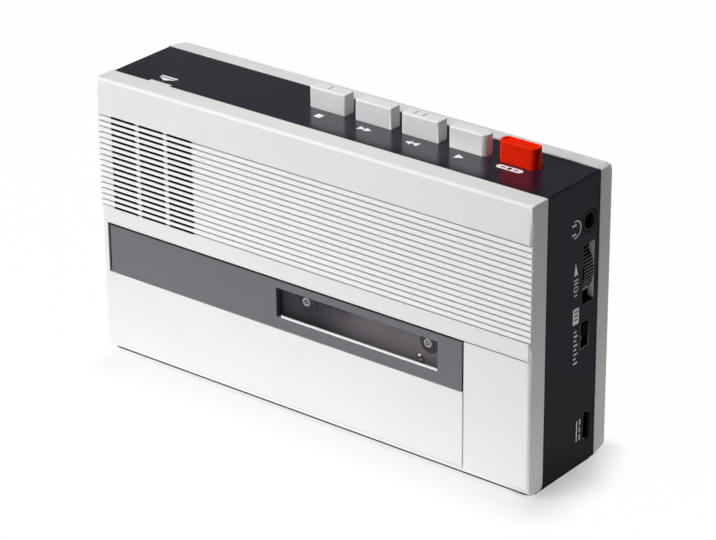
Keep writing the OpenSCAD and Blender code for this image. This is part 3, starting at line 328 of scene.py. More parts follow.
def new_finish(name):
    """A material, its shader and the place on the piece, in metres."""
    material = bpy.data.materials.new(name)
    material.use_nodes = True
    tree = material.node_tree
    return material, tree.nodes["Principled BSDF"], Shade(tree).node("TexCoord", out=3)


def tone(red, green, blue):
    """A colour as it looks on a screen, 0 to 255, made linear."""
    def linear(value):
        value = value / 255
        return value / 12.92 if value <= 0.04045 else ((value + 0.055) / 1.055) ** 2.4
    return (linear(red), linear(green), linear(blue), 1)


def plastic(name, dark, light, rough, gloss=0.5, grain=0.012, grain_size=0.35, clouds=60.0):
    """Moulded plastic: a spark-eroded grain, its sizes in millimetres, and a colour that drifts a little."""
    material, shader, place = new_finish(name)
    fine = place.noise(1 / (grain_size * MM), 2.0)
    broad = place.noise(clouds, 3.0)
    place.feed(shader, {
        "Base Color": broad.between(dark, light),
        "Roughness": rough + fine.swing(0.1) + broad.swing(0.08),
        "Normal": fine.bump(0.35, grain * MM),
        "Specular IOR Level": gloss,
    })
    return material


shell_low, shell_high = tone(237, 237, 235), tone(242, 242, 240)
rib_painted_highlight, groove_painted_shade, seam_painted_shade = tone(253, 253, 251), tone(214, 214, 213), tone(190, 190, 189)
lid_low, lid_high = (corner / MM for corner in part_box("front_lid"))
rib_low, rib_high, rib_end = 46.2, 75.0, 0.03
groove_lip, groove_floor = 0.1, 1.25
seam_lip, seam_floor, seam_foot, seam_end = 0.06, 0.45, 2.6, 1.3
lid_white = plastic("lid_white", shell_low, shell_high, rough=0.42, gloss=0.3)
lid_tree = lid_white.node_tree
lid_shader = lid_tree.nodes["Principled BSDF"]
lid_place = Shade(lid_tree).node("TexCoord", out=3)
lid_across = abs(lid_place.axis(0)) * (1 / MM)
lid_deep = lid_place.axis(1) * (1 / MM) - lid_low.y
lid_up = lid_place.axis(2) * (1 / MM)
on_ribs = (lid_up > rib_low) * (lid_up < rib_high) * (lid_deep < groove_floor)
on_ribs = on_ribs * (lid_across < lid_high.x - rib_end)
in_seam = (lid_up > seam_foot) * (lid_up < rib_low) * (lid_deep > seam_lip) * (lid_deep < seam_floor)
in_seam = in_seam * (lid_across < lid_high.x - seam_end)
lid_plain = Shade(lid_tree, lid_shader.inputs["Base Color"].links[0].from_socket)
# Painted shade in seams and grooves, painted highlight on the rib faces.
lid_colour = in_seam.between(lid_plain, seam_painted_shade)
lid_colour = (on_ribs * (lid_deep < groove_lip)).between(lid_colour, rib_painted_highlight)
lid_colour = (on_ribs * (lid_deep > groove_lip)).between(lid_colour, groove_painted_shade)
lid_place.feed(lid_shader, {"Base Color": lid_colour})
moulded("front_lid", "lid_shell", lid_white, radius=0.12, shortest=3.0)

# The grey band lies in a shallow recess of the lid and frames the window.
# It is a thin satin strip with a fine sideways brushing, cemented in.
band_grey, band_shader, band_place = new_finish("band_grey")
band_brush = band_place.streaks((60, 3000, 9000), 2.0)
band_place.feed(band_shader, {
    "Base Color": band_place.noise(40.0, 2.0).between(tone(100, 98, 106), tone(108, 106, 114)),
    "Roughness": 0.38 + band_brush.swing(0.2),
    "Normal": band_brush.bump(0.3, 0.01 * MM),
})
moulded("window_panel", "grey_band", band_grey, radius=0.12)


# A black strip on three sides of the band is a painted shadow, standing for the dark gap between band and
# lid.
# It is narrow and stands a hair proud of the band.
def block(shape, low, high):
    """Adds a box from one corner to the other, in millimetres."""
    size = Vector(high) - Vector(low)
    middle = (Vector(high) + Vector(low)) / 2
    place = Matrix.Translation(middle * MM) @ Matrix.Diagonal((*(size * MM), 1))
    bmesh.ops.create_cube(shape, size=1, matrix=place)


def shaped(name, shape, material, body, radius=0.0):
    """Turns a shape into a piece that rides on a body."""
    if radius:
        rounded(shape, shape.edges[:], radius)
    piece = evened(as_piece(name, mesh_of(name, shape), material))
    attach(piece, body)
    return piece


band_low, band_high = (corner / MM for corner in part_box("window_panel"))
# Black for the band's painted gap shadow; the dimples of the reel caps use it too.
gap_shadow_and_dimple_black = plastic("gap_shadow_and_dimple_black", tone(20, 20, 24), tone(30, 30, 34), rough=0.7, gloss=0.2)
gap_shadow_w, gap_shadow_proud, gap_shadow_deep = 0.42, 0.04, 0.3
gap_shadow_under = band_high.z - gap_shadow_w
gap_shadow_strip = bmesh.new()
for left, right, low, top in (
        (band_low.x, band_high.x, gap_shadow_under, band_high.z),
        (band_low.x, band_low.x + gap_shadow_w, band_low.z, gap_shadow_under),
        (band_high.x - gap_shadow_w, band_high.x, band_low.z, gap_shadow_under)):
    block(gap_shadow_strip, (left, band_low.y - gap_shadow_proud, low), (right, band_low.y + gap_shadow_deep, top))
shaped("band_gap_shadow", gap_shadow_strip, gap_shadow_and_dimple_black, "lid", radius=0.03)

# The window is a plate of smoked acrylic cemented in behind the lid's face.
# Its colour grows paler to the upper right: a painted light.
smoke, smoke_shader, smoke_place = new_finish("smoked_acrylic")
light_ramp_height, light_ramp_slant, light_ramp_left, light_ramp_right = 33.6 * MM, 1.6, -2 * MM, 22 * MM
smoke_clouds = smoke_place.noise(25.0, 1.0)
smoke_light_way = smoke_place.axis(0) + (smoke_place.axis(2) - light_ramp_height) * light_ramp_slant
smoke_painted_light = smoke_light_way.ramp(light_ramp_left, light_ramp_right, smooth=True)
smoke_place.feed(smoke_shader, {
    "Base Color": smoke_painted_light.between(tone(104, 101, 112), tone(118, 111, 121)),
    "Roughness": 0.06 + smoke_clouds * 0.06,
    "Alpha": 0.13 + smoke_clouds * 0.05,
})
moulded("window_lens", "window_lens_plate", smoke, radius=0.1)

# Dark grey strips line the window's opening on three sides: a painted shade on its inner walls.
# A bright white bar along its lower edge is a painted highlight, where the opening's lower wall catches
# light.
lens_low, lens_high = (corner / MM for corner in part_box("window_lens"))
lens_lip = 2.0
win_left, win_right = lens_low.x + lens_lip, lens_high.x - lens_lip
win_low, win_top = lens_low.z + lens_lip, lens_high.z - lens_lip
jamb_t, jamb_sunk, jamb_gap = 0.1, 0.25, 0.01
jamb_painted_shade = plastic("jamb_painted_shade", tone(66, 64, 72), tone(74, 72, 80), rough=0.6, gloss=0.2)
jambs = bmesh.new()
for left, right, low, top in (
        (win_left, win_left + jamb_t, win_low, win_top),
        (win_right - jamb_t, win_right, win_low, win_top),
        (win_left + jamb_t, win_right - jamb_t, win_top - jamb_t, win_top)):
    block(jambs, (left, band_low.y + jamb_sunk, low), (right, lens_low.y - jamb_gap, top))
shaped("window_jambs", jambs, jamb_painted_shade, "lid")
sill_in, sill_gap, sill_h, sill_front, sill_back = 1.6, 0.01, 0.6, 0.1, 0.5
# White for the sill's painted highlight and for the rings and highlight dots of the reel caps.
highlight_and_ring_white = plastic("highlight_and_ring_white", tone(252, 252, 252), tone(255, 255, 255), rough=0.35, gloss=0.3)
sill_highlight = bmesh.new()
block(sill_highlight, (win_left + sill_in, band_low.y + sill_front, win_low + sill_gap),
      (win_right - jamb_t - sill_gap, band_low.y + sill_back, win_low + sill_h))
shaped("window_sill_highlight", sill_highlight, highlight_and_ring_white, "lid", radius=0.05)

# The grille cloth closes the slots from behind, a black weave stretched on the lid's inner face.
# Its threads cross over and under at a pitch of about half a millimetre.
cloth_black, cloth_shader, cloth_place = new_finish("grille_black")
cloth_fluff = cloth_place.noise(4000.0, 3.0)
cloth_place.feed(cloth_shader, {
    "Base Color": cloth_fluff.between((0.004, 0.004, 0.005, 1), (0.016, 0.016, 0.018, 1)),
    "Roughness": 0.85 + cloth_fluff * 0.1,
    "Normal": cloth_fluff.bump(0.5, 0.05 * MM),
})


def node_tree(name, inputs):
    """An empty Geometry Nodes tree with named number inputs."""
    tree = bpy.data.node_groups.new(name, "GeometryNodeTree")
    tree.interface.new_socket("Geometry", in_out="OUTPUT", socket_type="NodeSocketGeometry")
    tree.interface.new_socket("Geometry", in_out="INPUT", socket_type="NodeSocketGeometry")
    for label in inputs:
        tree.interface.new_socket(label, in_out="INPUT", socket_type="NodeSocketFloat")
    return tree, tree.nodes.new("NodeGroupInput").outputs


def step(tree, kind, settings=None, sockets=None):
    """Adds one geometry node; its sockets take values or links."""
    made = tree.nodes.new(kind)
    for key, value in (settings or {}).items():
        setattr(made, key, value)
    for key, value in (sockets or {}).items():
        if isinstance(value, bpy.types.NodeSocket):
            tree.links.new(value, made.inputs[key])
        else:
            made.inputs[key].default_value = value
    return made.outputs


def times(tree, first, second):
    return step(tree, "ShaderNodeMath", {"operation": "MULTIPLY"}, {0: first, 1: second})[0]


def vector_step(tree, operation, sockets):
    return step(tree, "ShaderNodeVectorMath", {"operation": operation}, sockets)[0]


def vector(tree, x=0.0, y=0.0, z=0.0):
    return step(tree, "ShaderNodeCombineXYZ", None, {0: x, 1: y, 2: z})[0]


def close_tree(tree, geometry, material):
    """Ends a tree in real faces with their material."""
    real = step(tree, "GeometryNodeRealizeInstances", None, {"Geometry": geometry})
    painted = step(tree, "GeometryNodeSetMaterial", None, {"Geometry": real[0], "Material": material})
    end = tree.nodes.new("NodeGroupOutput")
    tree.links.new(painted[0], end.inputs[0])


def grown(name, tree, values, material, start=None):
    """A plain mesh piece grown by a tree from a starting mesh."""
    piece = as_piece(name, start or bpy.data.meshes.new(name), material)
    growth = piece.modifiers.new("growth", "NODES")
    growth.node_group = tree
    names = {item.name: item.identifier for item in tree.interface.items_tree if item.in_out == "INPUT"}
    for label, value in values.items():
        growth[names[label]] = value
    return made_plain(piece)


weave_cols, weave_rows, thread, relief = 150, 140, 0.55 * MM, 0.03 * MM
weave_tree, weave_in = node_tree("grille_weave", ["Width", "Height", "Thread", "Relief"])
weave_grid = step(weave_tree, "GeometryNodeMeshGrid", None, {
    "Size X": weave_in["Width"], "Size Y": weave_in["Height"],
    "Vertices X": weave_cols, "Vertices Y": weave_rows})
weave_spot = step(weave_tree, "GeometryNodeInputPosition")
weave_turn = vector_step(weave_tree, "SCALE", {0: weave_spot[0], "Scale": math.pi})
weave_pitch = vector(weave_tree, weave_in["Thread"], weave_in["Thread"], weave_in["Thread"])
weave_phase = vector_step(weave_tree, "DIVIDE", {0: weave_turn, 1: weave_pitch})
weave_wave = vector_step(weave_tree, "SINE", {0: weave_phase})
weave_parts = step(weave_tree, "ShaderNodeSeparateXYZ", None, {0: weave_wave})
weave_height = times(weave_tree, times(weave_tree, weave_parts[0], weave_parts[1]), weave_in["Relief"])
weave_moved = step(weave_tree, "GeometryNodeSetPosition", None, {
    "Geometry": weave_grid[0], "Offset": vector(weave_tree, z=weave_height)})
close_tree(weave_tree, weave_moved[0], cloth_black)
cloth_low, cloth_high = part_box("grille_cloth")
cloth_size = cloth_high - cloth_low
facing_front = Matrix.Rotation(math.pi / 2, 4, "X")
grille = grown("grille_weave", weave_tree, {
    "Width": cloth_size.x, "Height": cloth_size.z, "Thread": thread, "Relief": relief}, cloth_black)
grille.data.transform(Matrix.Translation((cloth_low + cloth_high) / 2) @ facing_front)
grille.data.shade_smooth()
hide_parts("grille_cloth")
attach(grille, "lid")

# Black bars fill the speaker slots up to a little below the ribs: a painted shade for the depth of the slots.
# They stand in three columns and seventeen rows, with a slightly uneven face.
bar_w, bar_h, bar_sink, bar_deep, bar_bulge = 9.07, 0.74, 0.22, 1.0, 0.06
bar_cols, bar_col_pitch, bar_rows, bar_row_pitch = 3, 10.6, 17, 1.75
bars_x, bars_top = -55.8, 74.6
slot_shade_cuts_x, slot_shade_cuts_y, slot_shade_cuts_z, slot_shade_cells = 31, 5, 3, 3500.0
slot_shade_tree, slot_shade_in = node_tree("slot_shade_fill", [
    "Bar width", "Bar height", "Bar depth", "Column pitch", "Row pitch", "Bulge"])
slot_shade_grid = step(slot_shade_tree, "GeometryNodeMeshGrid", None, {
    "Size X": times(slot_shade_tree, slot_shade_in["Column pitch"], bar_cols - 1),
    "Size Y": times(slot_shade_tree, slot_shade_in["Row pitch"], bar_rows - 1),
    "Vertices X": bar_cols, "Vertices Y": bar_rows})
slot_shade_bar = step(slot_shade_tree, "GeometryNodeMeshCube", None, {
    "Size": vector(slot_shade_tree, slot_shade_in["Bar width"], slot_shade_in["Bar height"], slot_shade_in["Bar depth"]),
    "Vertices X": slot_shade_cuts_x, "Vertices Y": slot_shade_cuts_y, "Vertices Z": slot_shade_cuts_z})
slot_shade_spot = step(slot_shade_tree, "GeometryNodeInputPosition")
slot_shade_noise = step(slot_shade_tree, "ShaderNodeTexNoise", None, {
    "Vector": slot_shade_spot[0], "Scale": slot_shade_cells, "Detail": 1.0})
slot_shade_lift = times(slot_shade_tree, slot_shade_noise[0], slot_shade_in["Bulge"])
slot_shade_soft = step(slot_shade_tree, "GeometryNodeSetPosition", None, {
    "Geometry": slot_shade_bar[0], "Offset": vector(slot_shade_tree, z=slot_shade_lift)})
slot_shade_set = step(slot_shade_tree, "GeometryNodeInstanceOnPoints", None, {
    "Points": slot_shade_grid[0], "Instance": slot_shade_soft[0]})
# Black for the painted shade in the slots.
slot_shade_black = plastic("slot_shade_black", tone(9, 9, 11), tone(18, 18, 20), rough=0.95, gloss=0.05)
close_tree(slot_shade_tree, slot_shade_set[0], slot_shade_black)
slot_shade = grown("slot_shade_fill", slot_shade_tree, {
    "Bar width": bar_w * MM, "Bar height": bar_h * MM, "Bar depth": bar_deep * MM,
    "Column pitch": bar_col_pitch * MM, "Row pitch": bar_row_pitch * MM, "Bulge": bar_bulge * MM}, slot_shade_black)
slot_shade_y, slot_shade_z = lid_low.y + bar_sink + bar_deep / 2, bars_top - (bar_rows - 1) * bar_row_pitch / 2
slot_shade.data.transform(Matrix.Translation(Vector((bars_x, slot_shade_y, slot_shade_z)) * MM) @ facing_front)
evened(slot_shade)
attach(slot_shade, "lid")


# The hinge pins are cut from bright steel wire and pressed into the lid's lower corners.
# The cassette carrier is a black moulding fixed inside the lid; a leaf of spring steel presses the cassette.
def metal(name, dark, light, rough, brush=(400, 400, 400), scratch=0.004):
    """Bare metal with drawn or turned streaks."""
    material, shader, place = new_finish(name)
    drawn = place.streaks(brush, 3.0)
    clouds = place.noise(180.0, 2.0)
    place.feed(shader, {
        "Base Color": clouds.between(dark, light),
        "Roughness": rough + drawn.swing(0.15) + clouds.swing(0.1),
        "Normal": drawn.bump(0.4, scratch * MM),
        "Metallic": 1.0,
    })
    return material


bright_steel = metal("bright_steel", tone(190, 190, 192), tone(214, 214, 214), 0.28, brush=(300, 3000, 3000))
black_plastic = plastic("black_plastic", tone(24, 24, 26), tone(32, 32, 34), rough=0.45, gloss=0.4)
moulded("hinge_pins", "hinge_pin_pair", bright_steel)
moulded("cassette_carrier", "cassette_pocket", black_plastic, radius=0.15)
moulded("cassette_spring", "cassette_leaf", bright_steel)

# The mid frame is the charcoal shell between lid and rear cover, with the key row on top and the
# controls on its right side. It is moulded in one piece; its sides are satin and its top is polished.
frame_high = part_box("mid_frame")[1] / MM
shade_rise_height, polish_edge = 80 * MM, 0.15
charcoal, charcoal_shader, charcoal_place = new_finish("shell_charcoal")
charcoal_grain = charcoal_place.noise(2200.0, 2.0)
charcoal_clouds = charcoal_place.noise(45.0, 2.0)
# Its colour is painted darker towards the bottom and paler towards the top: painted shade and light.
charcoal_shaded_low = charcoal_clouds.between(tone(11, 11, 21), tone(14, 14, 25))
charcoal_lit_high = charcoal_clouds.between(tone(22, 22, 38), tone(28, 28, 46))
charcoal_height = charcoal_place.axis(2)
polished = charcoal_height > (frame_high.z - polish_edge) * MM
charcoal_place.feed(charcoal_shader, {
    "Base Color": charcoal_height.ramp(0.0, shade_rise_height).between(charcoal_shaded_low, charcoal_lit_high),
    "Roughness": 0.5 - polished * 0.16 + charcoal_grain.swing(0.1),
    "Coat Weight": polished * 0.9,
    "Coat Roughness": 0.2,
    "Specular IOR Level": 0.07,
    "Normal": charcoal_grain.bump(0.2, 0.004 * MM),
})
moulded("mid_frame", "charcoal_frame", charcoal, radius=0.1, shortest=2.0)

# The key signs are pad-printed on the frame's top in white ink: a square, two double arrows and an arrow
# before the pale keys, and an opening arrow over a bar beside the lid's finger tab.
mark_ink, ink_shader, ink_place = new_finish("mark_ink")
ink_spots = ink_place.noise(3000.0, 2.0)
ink_place.feed(ink_shader, {
    "Base Color": ink_spots.between(tone(246, 246, 248), tone(254, 254, 255)),
    "Roughness": 0.45 + ink_spots.swing(0.2),
})
ink_sunk, ink_thick, ink_over = -0.02, 0.03, 0.02


def printed(name, outlines, spot, material=mark_ink, body="housing"):
    """Thin prints from flat outlines in millimetres; spot(a, b, lift) gives the place on the surface."""
    shape = bmesh.new()
    for outline in outlines:
        low, high = ([shape.verts.new(Vector(spot(a, b, lift)) * MM) for a, b in outline]
                     for lift in (ink_sunk, ink_thick))
        shape.faces.new(low)
        shape.faces.new(high)
        for here in range(len(outline)):
            there = (here + 1) % len(outline)
            shape.faces.new((low[here], low[there], high[there], high[here]))
    bmesh.ops.recalc_face_normals(shape, faces=shape.faces)
    return shaped(name, shape, material, body)


def bar(a0, b0, a1, b1):
    return [(a0, b0), (a1, b0), (a1, b1), (a0, b1)]


def wedge(a, b, width, height, way):
    """A triangle that points along a (way 1) or back (way -1)."""
    foot, point = a - way * width / 2, a + way * width / 2
    return [(foot, b - height / 2), (point, b), (foot, b + height / 2)]


def on_top(a, b, lift):
    return (a, b, frame_high.z + lift)


sign_y, sign = -3.3, 1.1
stop_x, forward_x, rewind_x, play_x = -7.07, 9.03, 25.0, 41.07
arrow_w, arrow_h, play_size = 2 * sign, 2.2 * sign, 2.4 * sign
key_signs = [bar(stop_x - sign, sign_y - sign, stop_x + sign, sign_y + sign)]
for arrow_x, way in ((forward_x, 1), (rewind_x, -1)):
    key_signs += [wedge(arrow_x + side * sign, sign_y, arrow_w, arrow_h, way) for side in (-1, 1)]
key_signs.append(wedge(play_x, sign_y, play_size, play_size, 1))
open_x, open_y, open_half, open_tip, open_foot = -59.0, -7.6, 3.0, 1.5, 0.3
open_left, open_right, open_bar_low, open_bar_high = open_x - open_half, open_x + open_half, 0.8, 1.6
key_signs.append([
    (open_left, open_y + open_foot), (open_x, open_y - open_tip), (open_right, open_y + open_foot)])
key_signs.append(bar(open_left, open_y + open_bar_low, open_right, open_y + open_bar_high))
printed("key_signs", key_signs, on_top)


# The record key's sign is a pale printed plate with rounded ends, before the red key.
# A dark dot between two dashes is printed over it in a second pass.
def arc(middle, radius, first, last, count):
    """Points on an arc, its angles in degrees."""
    turns = [math.radians(first + (last - first) * n / count) for n in range(count + 1)]
    return [(middle[0] + radius * math.cos(turn), middle[1] + radius * math.sin(turn)) for turn in turns]


def pill(a0, b0, a1, b1, radius):
    """A bar with rounded corners."""
    corners = [((a1 - radius, b1 - radius), 0), ((a0 + radius, b1 - radius), 90),
               ((a0 + radius, b0 + radius), 180), ((a1 - radius, b0 + radius), 270)]
    return [spot for middle, first in corners for spot in arc(middle, radius, first, first + 90, 5)]


plate_x, plate_y, plate_half, plate_deep, plate_r = 56.3, -1.75, 4.2, 1.1, 1.09
dot_r, dot_points, dash_near, dash_far, dash_half, dash_r = 0.7, 24, 1.3, 2.9, 0.26, 0.25
dot_ink = plastic("dot_ink", tone(40, 40, 44), tone(52, 52, 56), rough=0.5)
printed("record_sign_plate", [pill(
    plate_x - plate_half, plate_y - plate_deep, plate_x + plate_half, plate_y + plate_deep, plate_r)], on_top)
printed("record_sign_dot", [
    arc((plate_x, plate_y), dot_r, 0, 360 - 360 / dot_points, dot_points - 1),
    pill(plate_x - dash_far, plate_y - dash_half, plate_x - dash_near, plate_y + dash_half, dash_r),
    pill(plate_x + dash_near, plate_y - dash_half, plate_x + dash_far, plate_y + dash_half, dash_r)],
    lambda a, b, lift: on_top(a, b, lift + ink_over), dot_ink)


# The signs on the right side are printed in the same white ink: headphones, a growing wedge and a scale for
# the volume, a plate and a scale beside the switch, and the sign of a direct current socket.
# A thin grey line frames the switch slot.
def on_side(a, b, lift):
    return (frame_high.x + lift, a, b)


def bow(middle, outer, inner, first, last, count):
    """A bent strip between two arcs."""
    return arc(middle, outer, first, last, count) + arc(middle, inner, last, first, count)


pad_front, pad_back, pad_h = -0.4, 1.5, 0.6
side_signs = [bow((1.25, 72.3), outer=2.6, inner=2.2, first=-105, last=105, count=24)]
side_signs += [bar(pad_front, pad_z, pad_back, pad_z + pad_h) for pad_z in (70.65, 73.35)]
side_signs.append([(1.06, 58.7), (2.93, 58.7), (1.6, 62.3)])
side_signs += [bar(1.0, 57.1, 3.1, 57.5), bar(1.0, 56.1, 3.1, 56.5), bar(1.2, 52.6, 2.6, 53.0)]
for first, last in ((-85, 85), (95, 265)):
    side_signs.append(bow((2.0, 54.6), outer=0.95, inner=0.6, first=first, last=last, count=12))
side_signs.append(pill(0.9, 44.1, 3.75, 48.8, radius=0.4))
scale_low, scale_pitch, scale_h, scale_count = 32.2, 1.35, 0.5, 8
scale_front, scale_back, scale_step = 1.5, 3.4, 0.7
for n in range(scale_count):
    scale_z = scale_low + scale_pitch * n
    side_signs.append(bar(scale_front, scale_z, scale_back - scale_step * (n % 2), scale_z + scale_h))
direct_low, direct_top, direct_w, direct_front, direct_back = 7.9, 14.2, 0.45, 3.8, 5.2
direct_dash, direct_pitch = 1.7, 2.3
side_signs.append(bar(direct_front, direct_low, direct_front + direct_w, direct_top))
for n in range(3):
    dash_z = direct_low + direct_pitch * n
    side_signs.append(bar(direct_back, dash_z, direct_back + direct_w, dash_z + direct_dash))
printed("side_signs", side_signs, on_side)
tick_front, tick_back, tick_low, tick_h, tick_pitch = 1.5, 3.15, 45.2, 0.45, 1.2
tick_lows = [tick_low + tick_pitch * n for n in range(3)]
printed("plate_marks", [bar(tick_front, low, tick_back, low + tick_h) for low in tick_lows],
        lambda a, b, lift: on_side(a, b, lift + ink_over), dot_ink)
frame_ink = plastic("frame_ink", tone(70, 70, 76), tone(84, 84, 90), rough=0.5)
slot_front, slot_back, slot_low, slot_top, line = 4.7, 8.3, 35.9, 43.2, 0.3
printed("switch_outline", [
    bar(slot_front - line, slot_low - line, slot_front, slot_top + line),
    bar(slot_back, slot_low - line, slot_back + line, slot_top + line),
    bar(slot_front, slot_low - line, slot_back, slot_low)],
    on_side, frame_ink)

# The deck cover is the mauve-grey moulded floor of the cassette well; the plate behind it is zinced steel.
# Pins riveted to the plate and sintered bronze bushes pressed into it hold the moving parts.
zinc = metal(
    "zinc_plate", tone(168, 170, 172), tone(190, 190, 188), 0.34, brush=(900, 900, 900), scratch=0.006)
bronze = metal(
    "sintered_bronze", tone(150, 112, 62), tone(178, 138, 84), 0.42, brush=(2500, 2500, 2500), scratch=0.01)
well_mauve = plastic("well_mauve", tone(174, 164, 171), tone(186, 175, 182), rough=0.5, gloss=0.4)
moulded("deck_cover", "well_floor", well_mauve, radius=0.1, shortest=2.0)
moulded("deck_plate", "deck_sheet", zinc)
moulded("deck_pins", "deck_pin_set", bright_steel)
moulded("shaft_bushes", "bush_set", bronze)


# Screws have domed heads with a cross recess; one tree makes a screw and sets it on every place of a row.
# The deck's screws are nickel-plated steel, the case's are black oxide.
def islands(node):
    """The boxes of a node's separate solids, in metres."""
    shape = bmesh.new()
    shape.from_mesh(frame["nodes"][node].data)
    bmesh.ops.remove_doubles(shape, verts=shape.verts, dist=weld_gap)
    left, boxes = set(shape.verts), []
    while left:
        group, front = set(), [left.pop()]
        while front:
            spot = front.pop()
            group.add(spot)
            for edge in spot.link_edges:
                other = edge.other_vert(spot)
                if other in left:
                    left.remove(other)
                    front.append(other)
        boxes.append((Vector([min(v.co[n] for v in group) for n in range(3)]),
                      Vector([max(v.co[n] for v in group) for n in range(3)])))
    shape.free()
    return sorted(boxes, key=lambda box: tuple(box[0]))


screw_tree, screw_in = node_tree("screw_row", ["Head radius", "Head height", "Shank radius", "Shank length"])


def of_size(label, part):
    return times(screw_tree, screw_in[label], part)


def screw_cube(size, drop):
    """A box whose size is given in parts of the head's radius and height, let down by parts of its height."""
    wide, deep, tall = size
    sizes = of_size("Head radius", wide), of_size("Head radius", deep), of_size("Head height", tall)
    cube = step(screw_tree, "GeometryNodeMeshCube", None, {"Size": vector(screw_tree, *sizes)})
    return step(screw_tree, "GeometryNodeTransform", None, {
        "Geometry": cube[0], "Translation": vector(screw_tree, z=of_size("Head height", drop))})[0]


ball_cuts, ball_rings, shank_sides = 32, 24, 20
arm_long, arm_thin, seat_w, seat_h, seat_drop, shank_start = 1.25, 0.28, 3.0, 1.2, -1.6, 0.9
screw_ball = step(screw_tree, "GeometryNodeMeshUVSphere", None, {
    "Segments": ball_cuts, "Rings": ball_rings, "Radius": 1.0})
screw_head = step(screw_tree, "GeometryNodeTransform", None, {
    "Geometry": screw_ball[0],
    "Translation": vector(screw_tree, z=of_size("Head height", -1.0)),
    "Scale": vector(screw_tree, screw_in["Head radius"], screw_in["Head radius"], screw_in["Head height"])})
screw_recess = step(screw_tree, "GeometryNodeMeshBoolean", {"operation": "DIFFERENCE", "solver": "EXACT"}, {
    "Mesh 1": screw_head[0]})
for cut in (screw_cube((arm_long, arm_thin, 1.0), 0.0), screw_cube((arm_thin, arm_long, 1.0), 0.0),
            screw_cube((seat_w, seat_w, seat_h), seat_drop)):
    screw_tree.links.new(cut, screw_recess[0].node.inputs["Mesh 2"])
screw_rod = step(screw_tree, "GeometryNodeMeshCylinder", None, {
    "Vertices": shank_sides, "Radius": screw_in["Shank radius"], "Depth": screw_in["Shank length"]})
shank_drop = step(screw_tree, "ShaderNodeMath", {"operation": "SUBTRACT"}, {
    0: of_size("Head height", -shank_start), 1: of_size("Shank length", 0.5)})
screw_shank = step(screw_tree, "GeometryNodeTransform", None, {
    "Geometry": screw_rod[0], "Translation": vector(screw_tree, z=shank_drop[0])})
screw_whole = step(screw_tree, "GeometryNodeJoinGeometry")
for part in (screw_recess, screw_shank):
    screw_tree.links.new(part[0], screw_whole[0].node.inputs[0])
screw_set = step(screw_tree, "GeometryNodeInstanceOnPoints", None, {
    "Points": screw_in["Geometry"], "Instance": screw_whole[0]})
close_tree(screw_tree, screw_set[0], bright_steel)


def screw_row(name, boxes, head_h, shank_r, to_back, material):
    """Screws whose heads face the back (1) or the front (-1), set on the axes of their boxes."""
    turn = Matrix.Rotation(-to_back * math.pi / 2, 4, "X")
    heads = [Vector(((low.x + high.x) / 2, high.y if to_back > 0 else low.y, (low.z + high.z) / 2))
             for low, high in boxes]
    points = bpy.data.meshes.new(name + "_places")
    points.from_pydata([turn.inverted() @ head for head in heads], [], [])
    low, high = boxes[0]
    row = grown(name, screw_tree, {
        "Head radius": (high.x - low.x) / 2, "Head height": head_h * MM, "Shank radius": shank_r * MM,
        "Shank length": high.y - low.y - shank_start * head_h * MM}, material, points)
    row.data.transform(turn)
    row.data.materials.clear()
    row.data.materials.append(material)
    return evened(row)


nickel = metal("nickel", tone(232, 230, 226), tone(244, 242, 238), 0.3)
black_oxide = metal("black_oxide", tone(40, 40, 42), tone(56, 56, 58), 0.4)
deck_boxes = islands("deck_screws")
plate_boxes = [box for box in deck_boxes if box[1].y > 0]
cover_boxes = [box for box in deck_boxes if box[1].y <= 0]
deck_screws = bmesh.new()
for row in (screw_row("deck_screw_row", plate_boxes, head_h=1.0, shank_r=1.0, to_back=1, material=nickel),
            screw_row("cover_screw", cover_boxes, head_h=0.8, shank_r=1.0, to_back=-1, material=nickel)):
    deck_screws.from_mesh(row.data)
    bpy.data.objects.remove(row)
stands_for(evened(as_piece("deck_screw_set", mesh_of("deck_screw_set", deck_screws), nickel)), "deck_screws")
case_boxes = islands("case_screws")
stands_for(
    screw_row("case_screw_set", case_boxes, head_h=1.6, shank_r=0.95, to_back=1, material=black_oxide),
    "case_screws")

# Reel spindles are grey mouldings on steel shafts, with three fins that drive the cassette's hubs.
# Each has a black cap, pressed on; its tip shows a bright ring round a dark hollow and a painted highlight
# dot.
spindle_grey = plastic("spindle_grey", tone(120, 118, 116), tone(138, 136, 133), rough=0.4)
for side in ("takeup", "supply"):
    moulded(side + "_shaft", side + "_axle", bright_steel)
    moulded(side + "_spindle", side + "_fins", spindle_grey, radius=0.08)
moulded("takeup_pulley", "takeup_wheel", black_plastic)


def lathe(shape, middle, profile, start=0.0, count=40):
    """Adds a turned form round an axis to the back; the profile gives radius and depth in millimetres."""
    turns = [2 * math.pi * n / count for n in range(count)]
    rows = [[shape.verts.new(Vector((middle[0] + radius * math.cos(turn), start + depth,
                                     middle[1] + radius * math.sin(turn))) * MM)
             for turn in turns] for radius, depth in profile]
    for here, there in zip(rows, rows[1:]):
        for n in range(count):
            m = (n + 1) % count
            shape.faces.new((here[n], here[m], there[m], there[n]))
    shape.faces.new(rows[0])
    shape.faces.new(reversed(rows[-1]))
    bmesh.ops.recalc_face_normals(shape, faces=shape.faces)


cap_profile = [(1.3, -0.2), (2.1, -0.16), (2.2, -0.05), (3.1, 0.05), (3.4, 0.35), (3.4, 1.5)]
ring_profile = [(0.72, -0.3), (0.72, -0.55), (0.8, -0.65), (1.2, -0.65), (1.32, -0.5), (1.32, -0.1)]
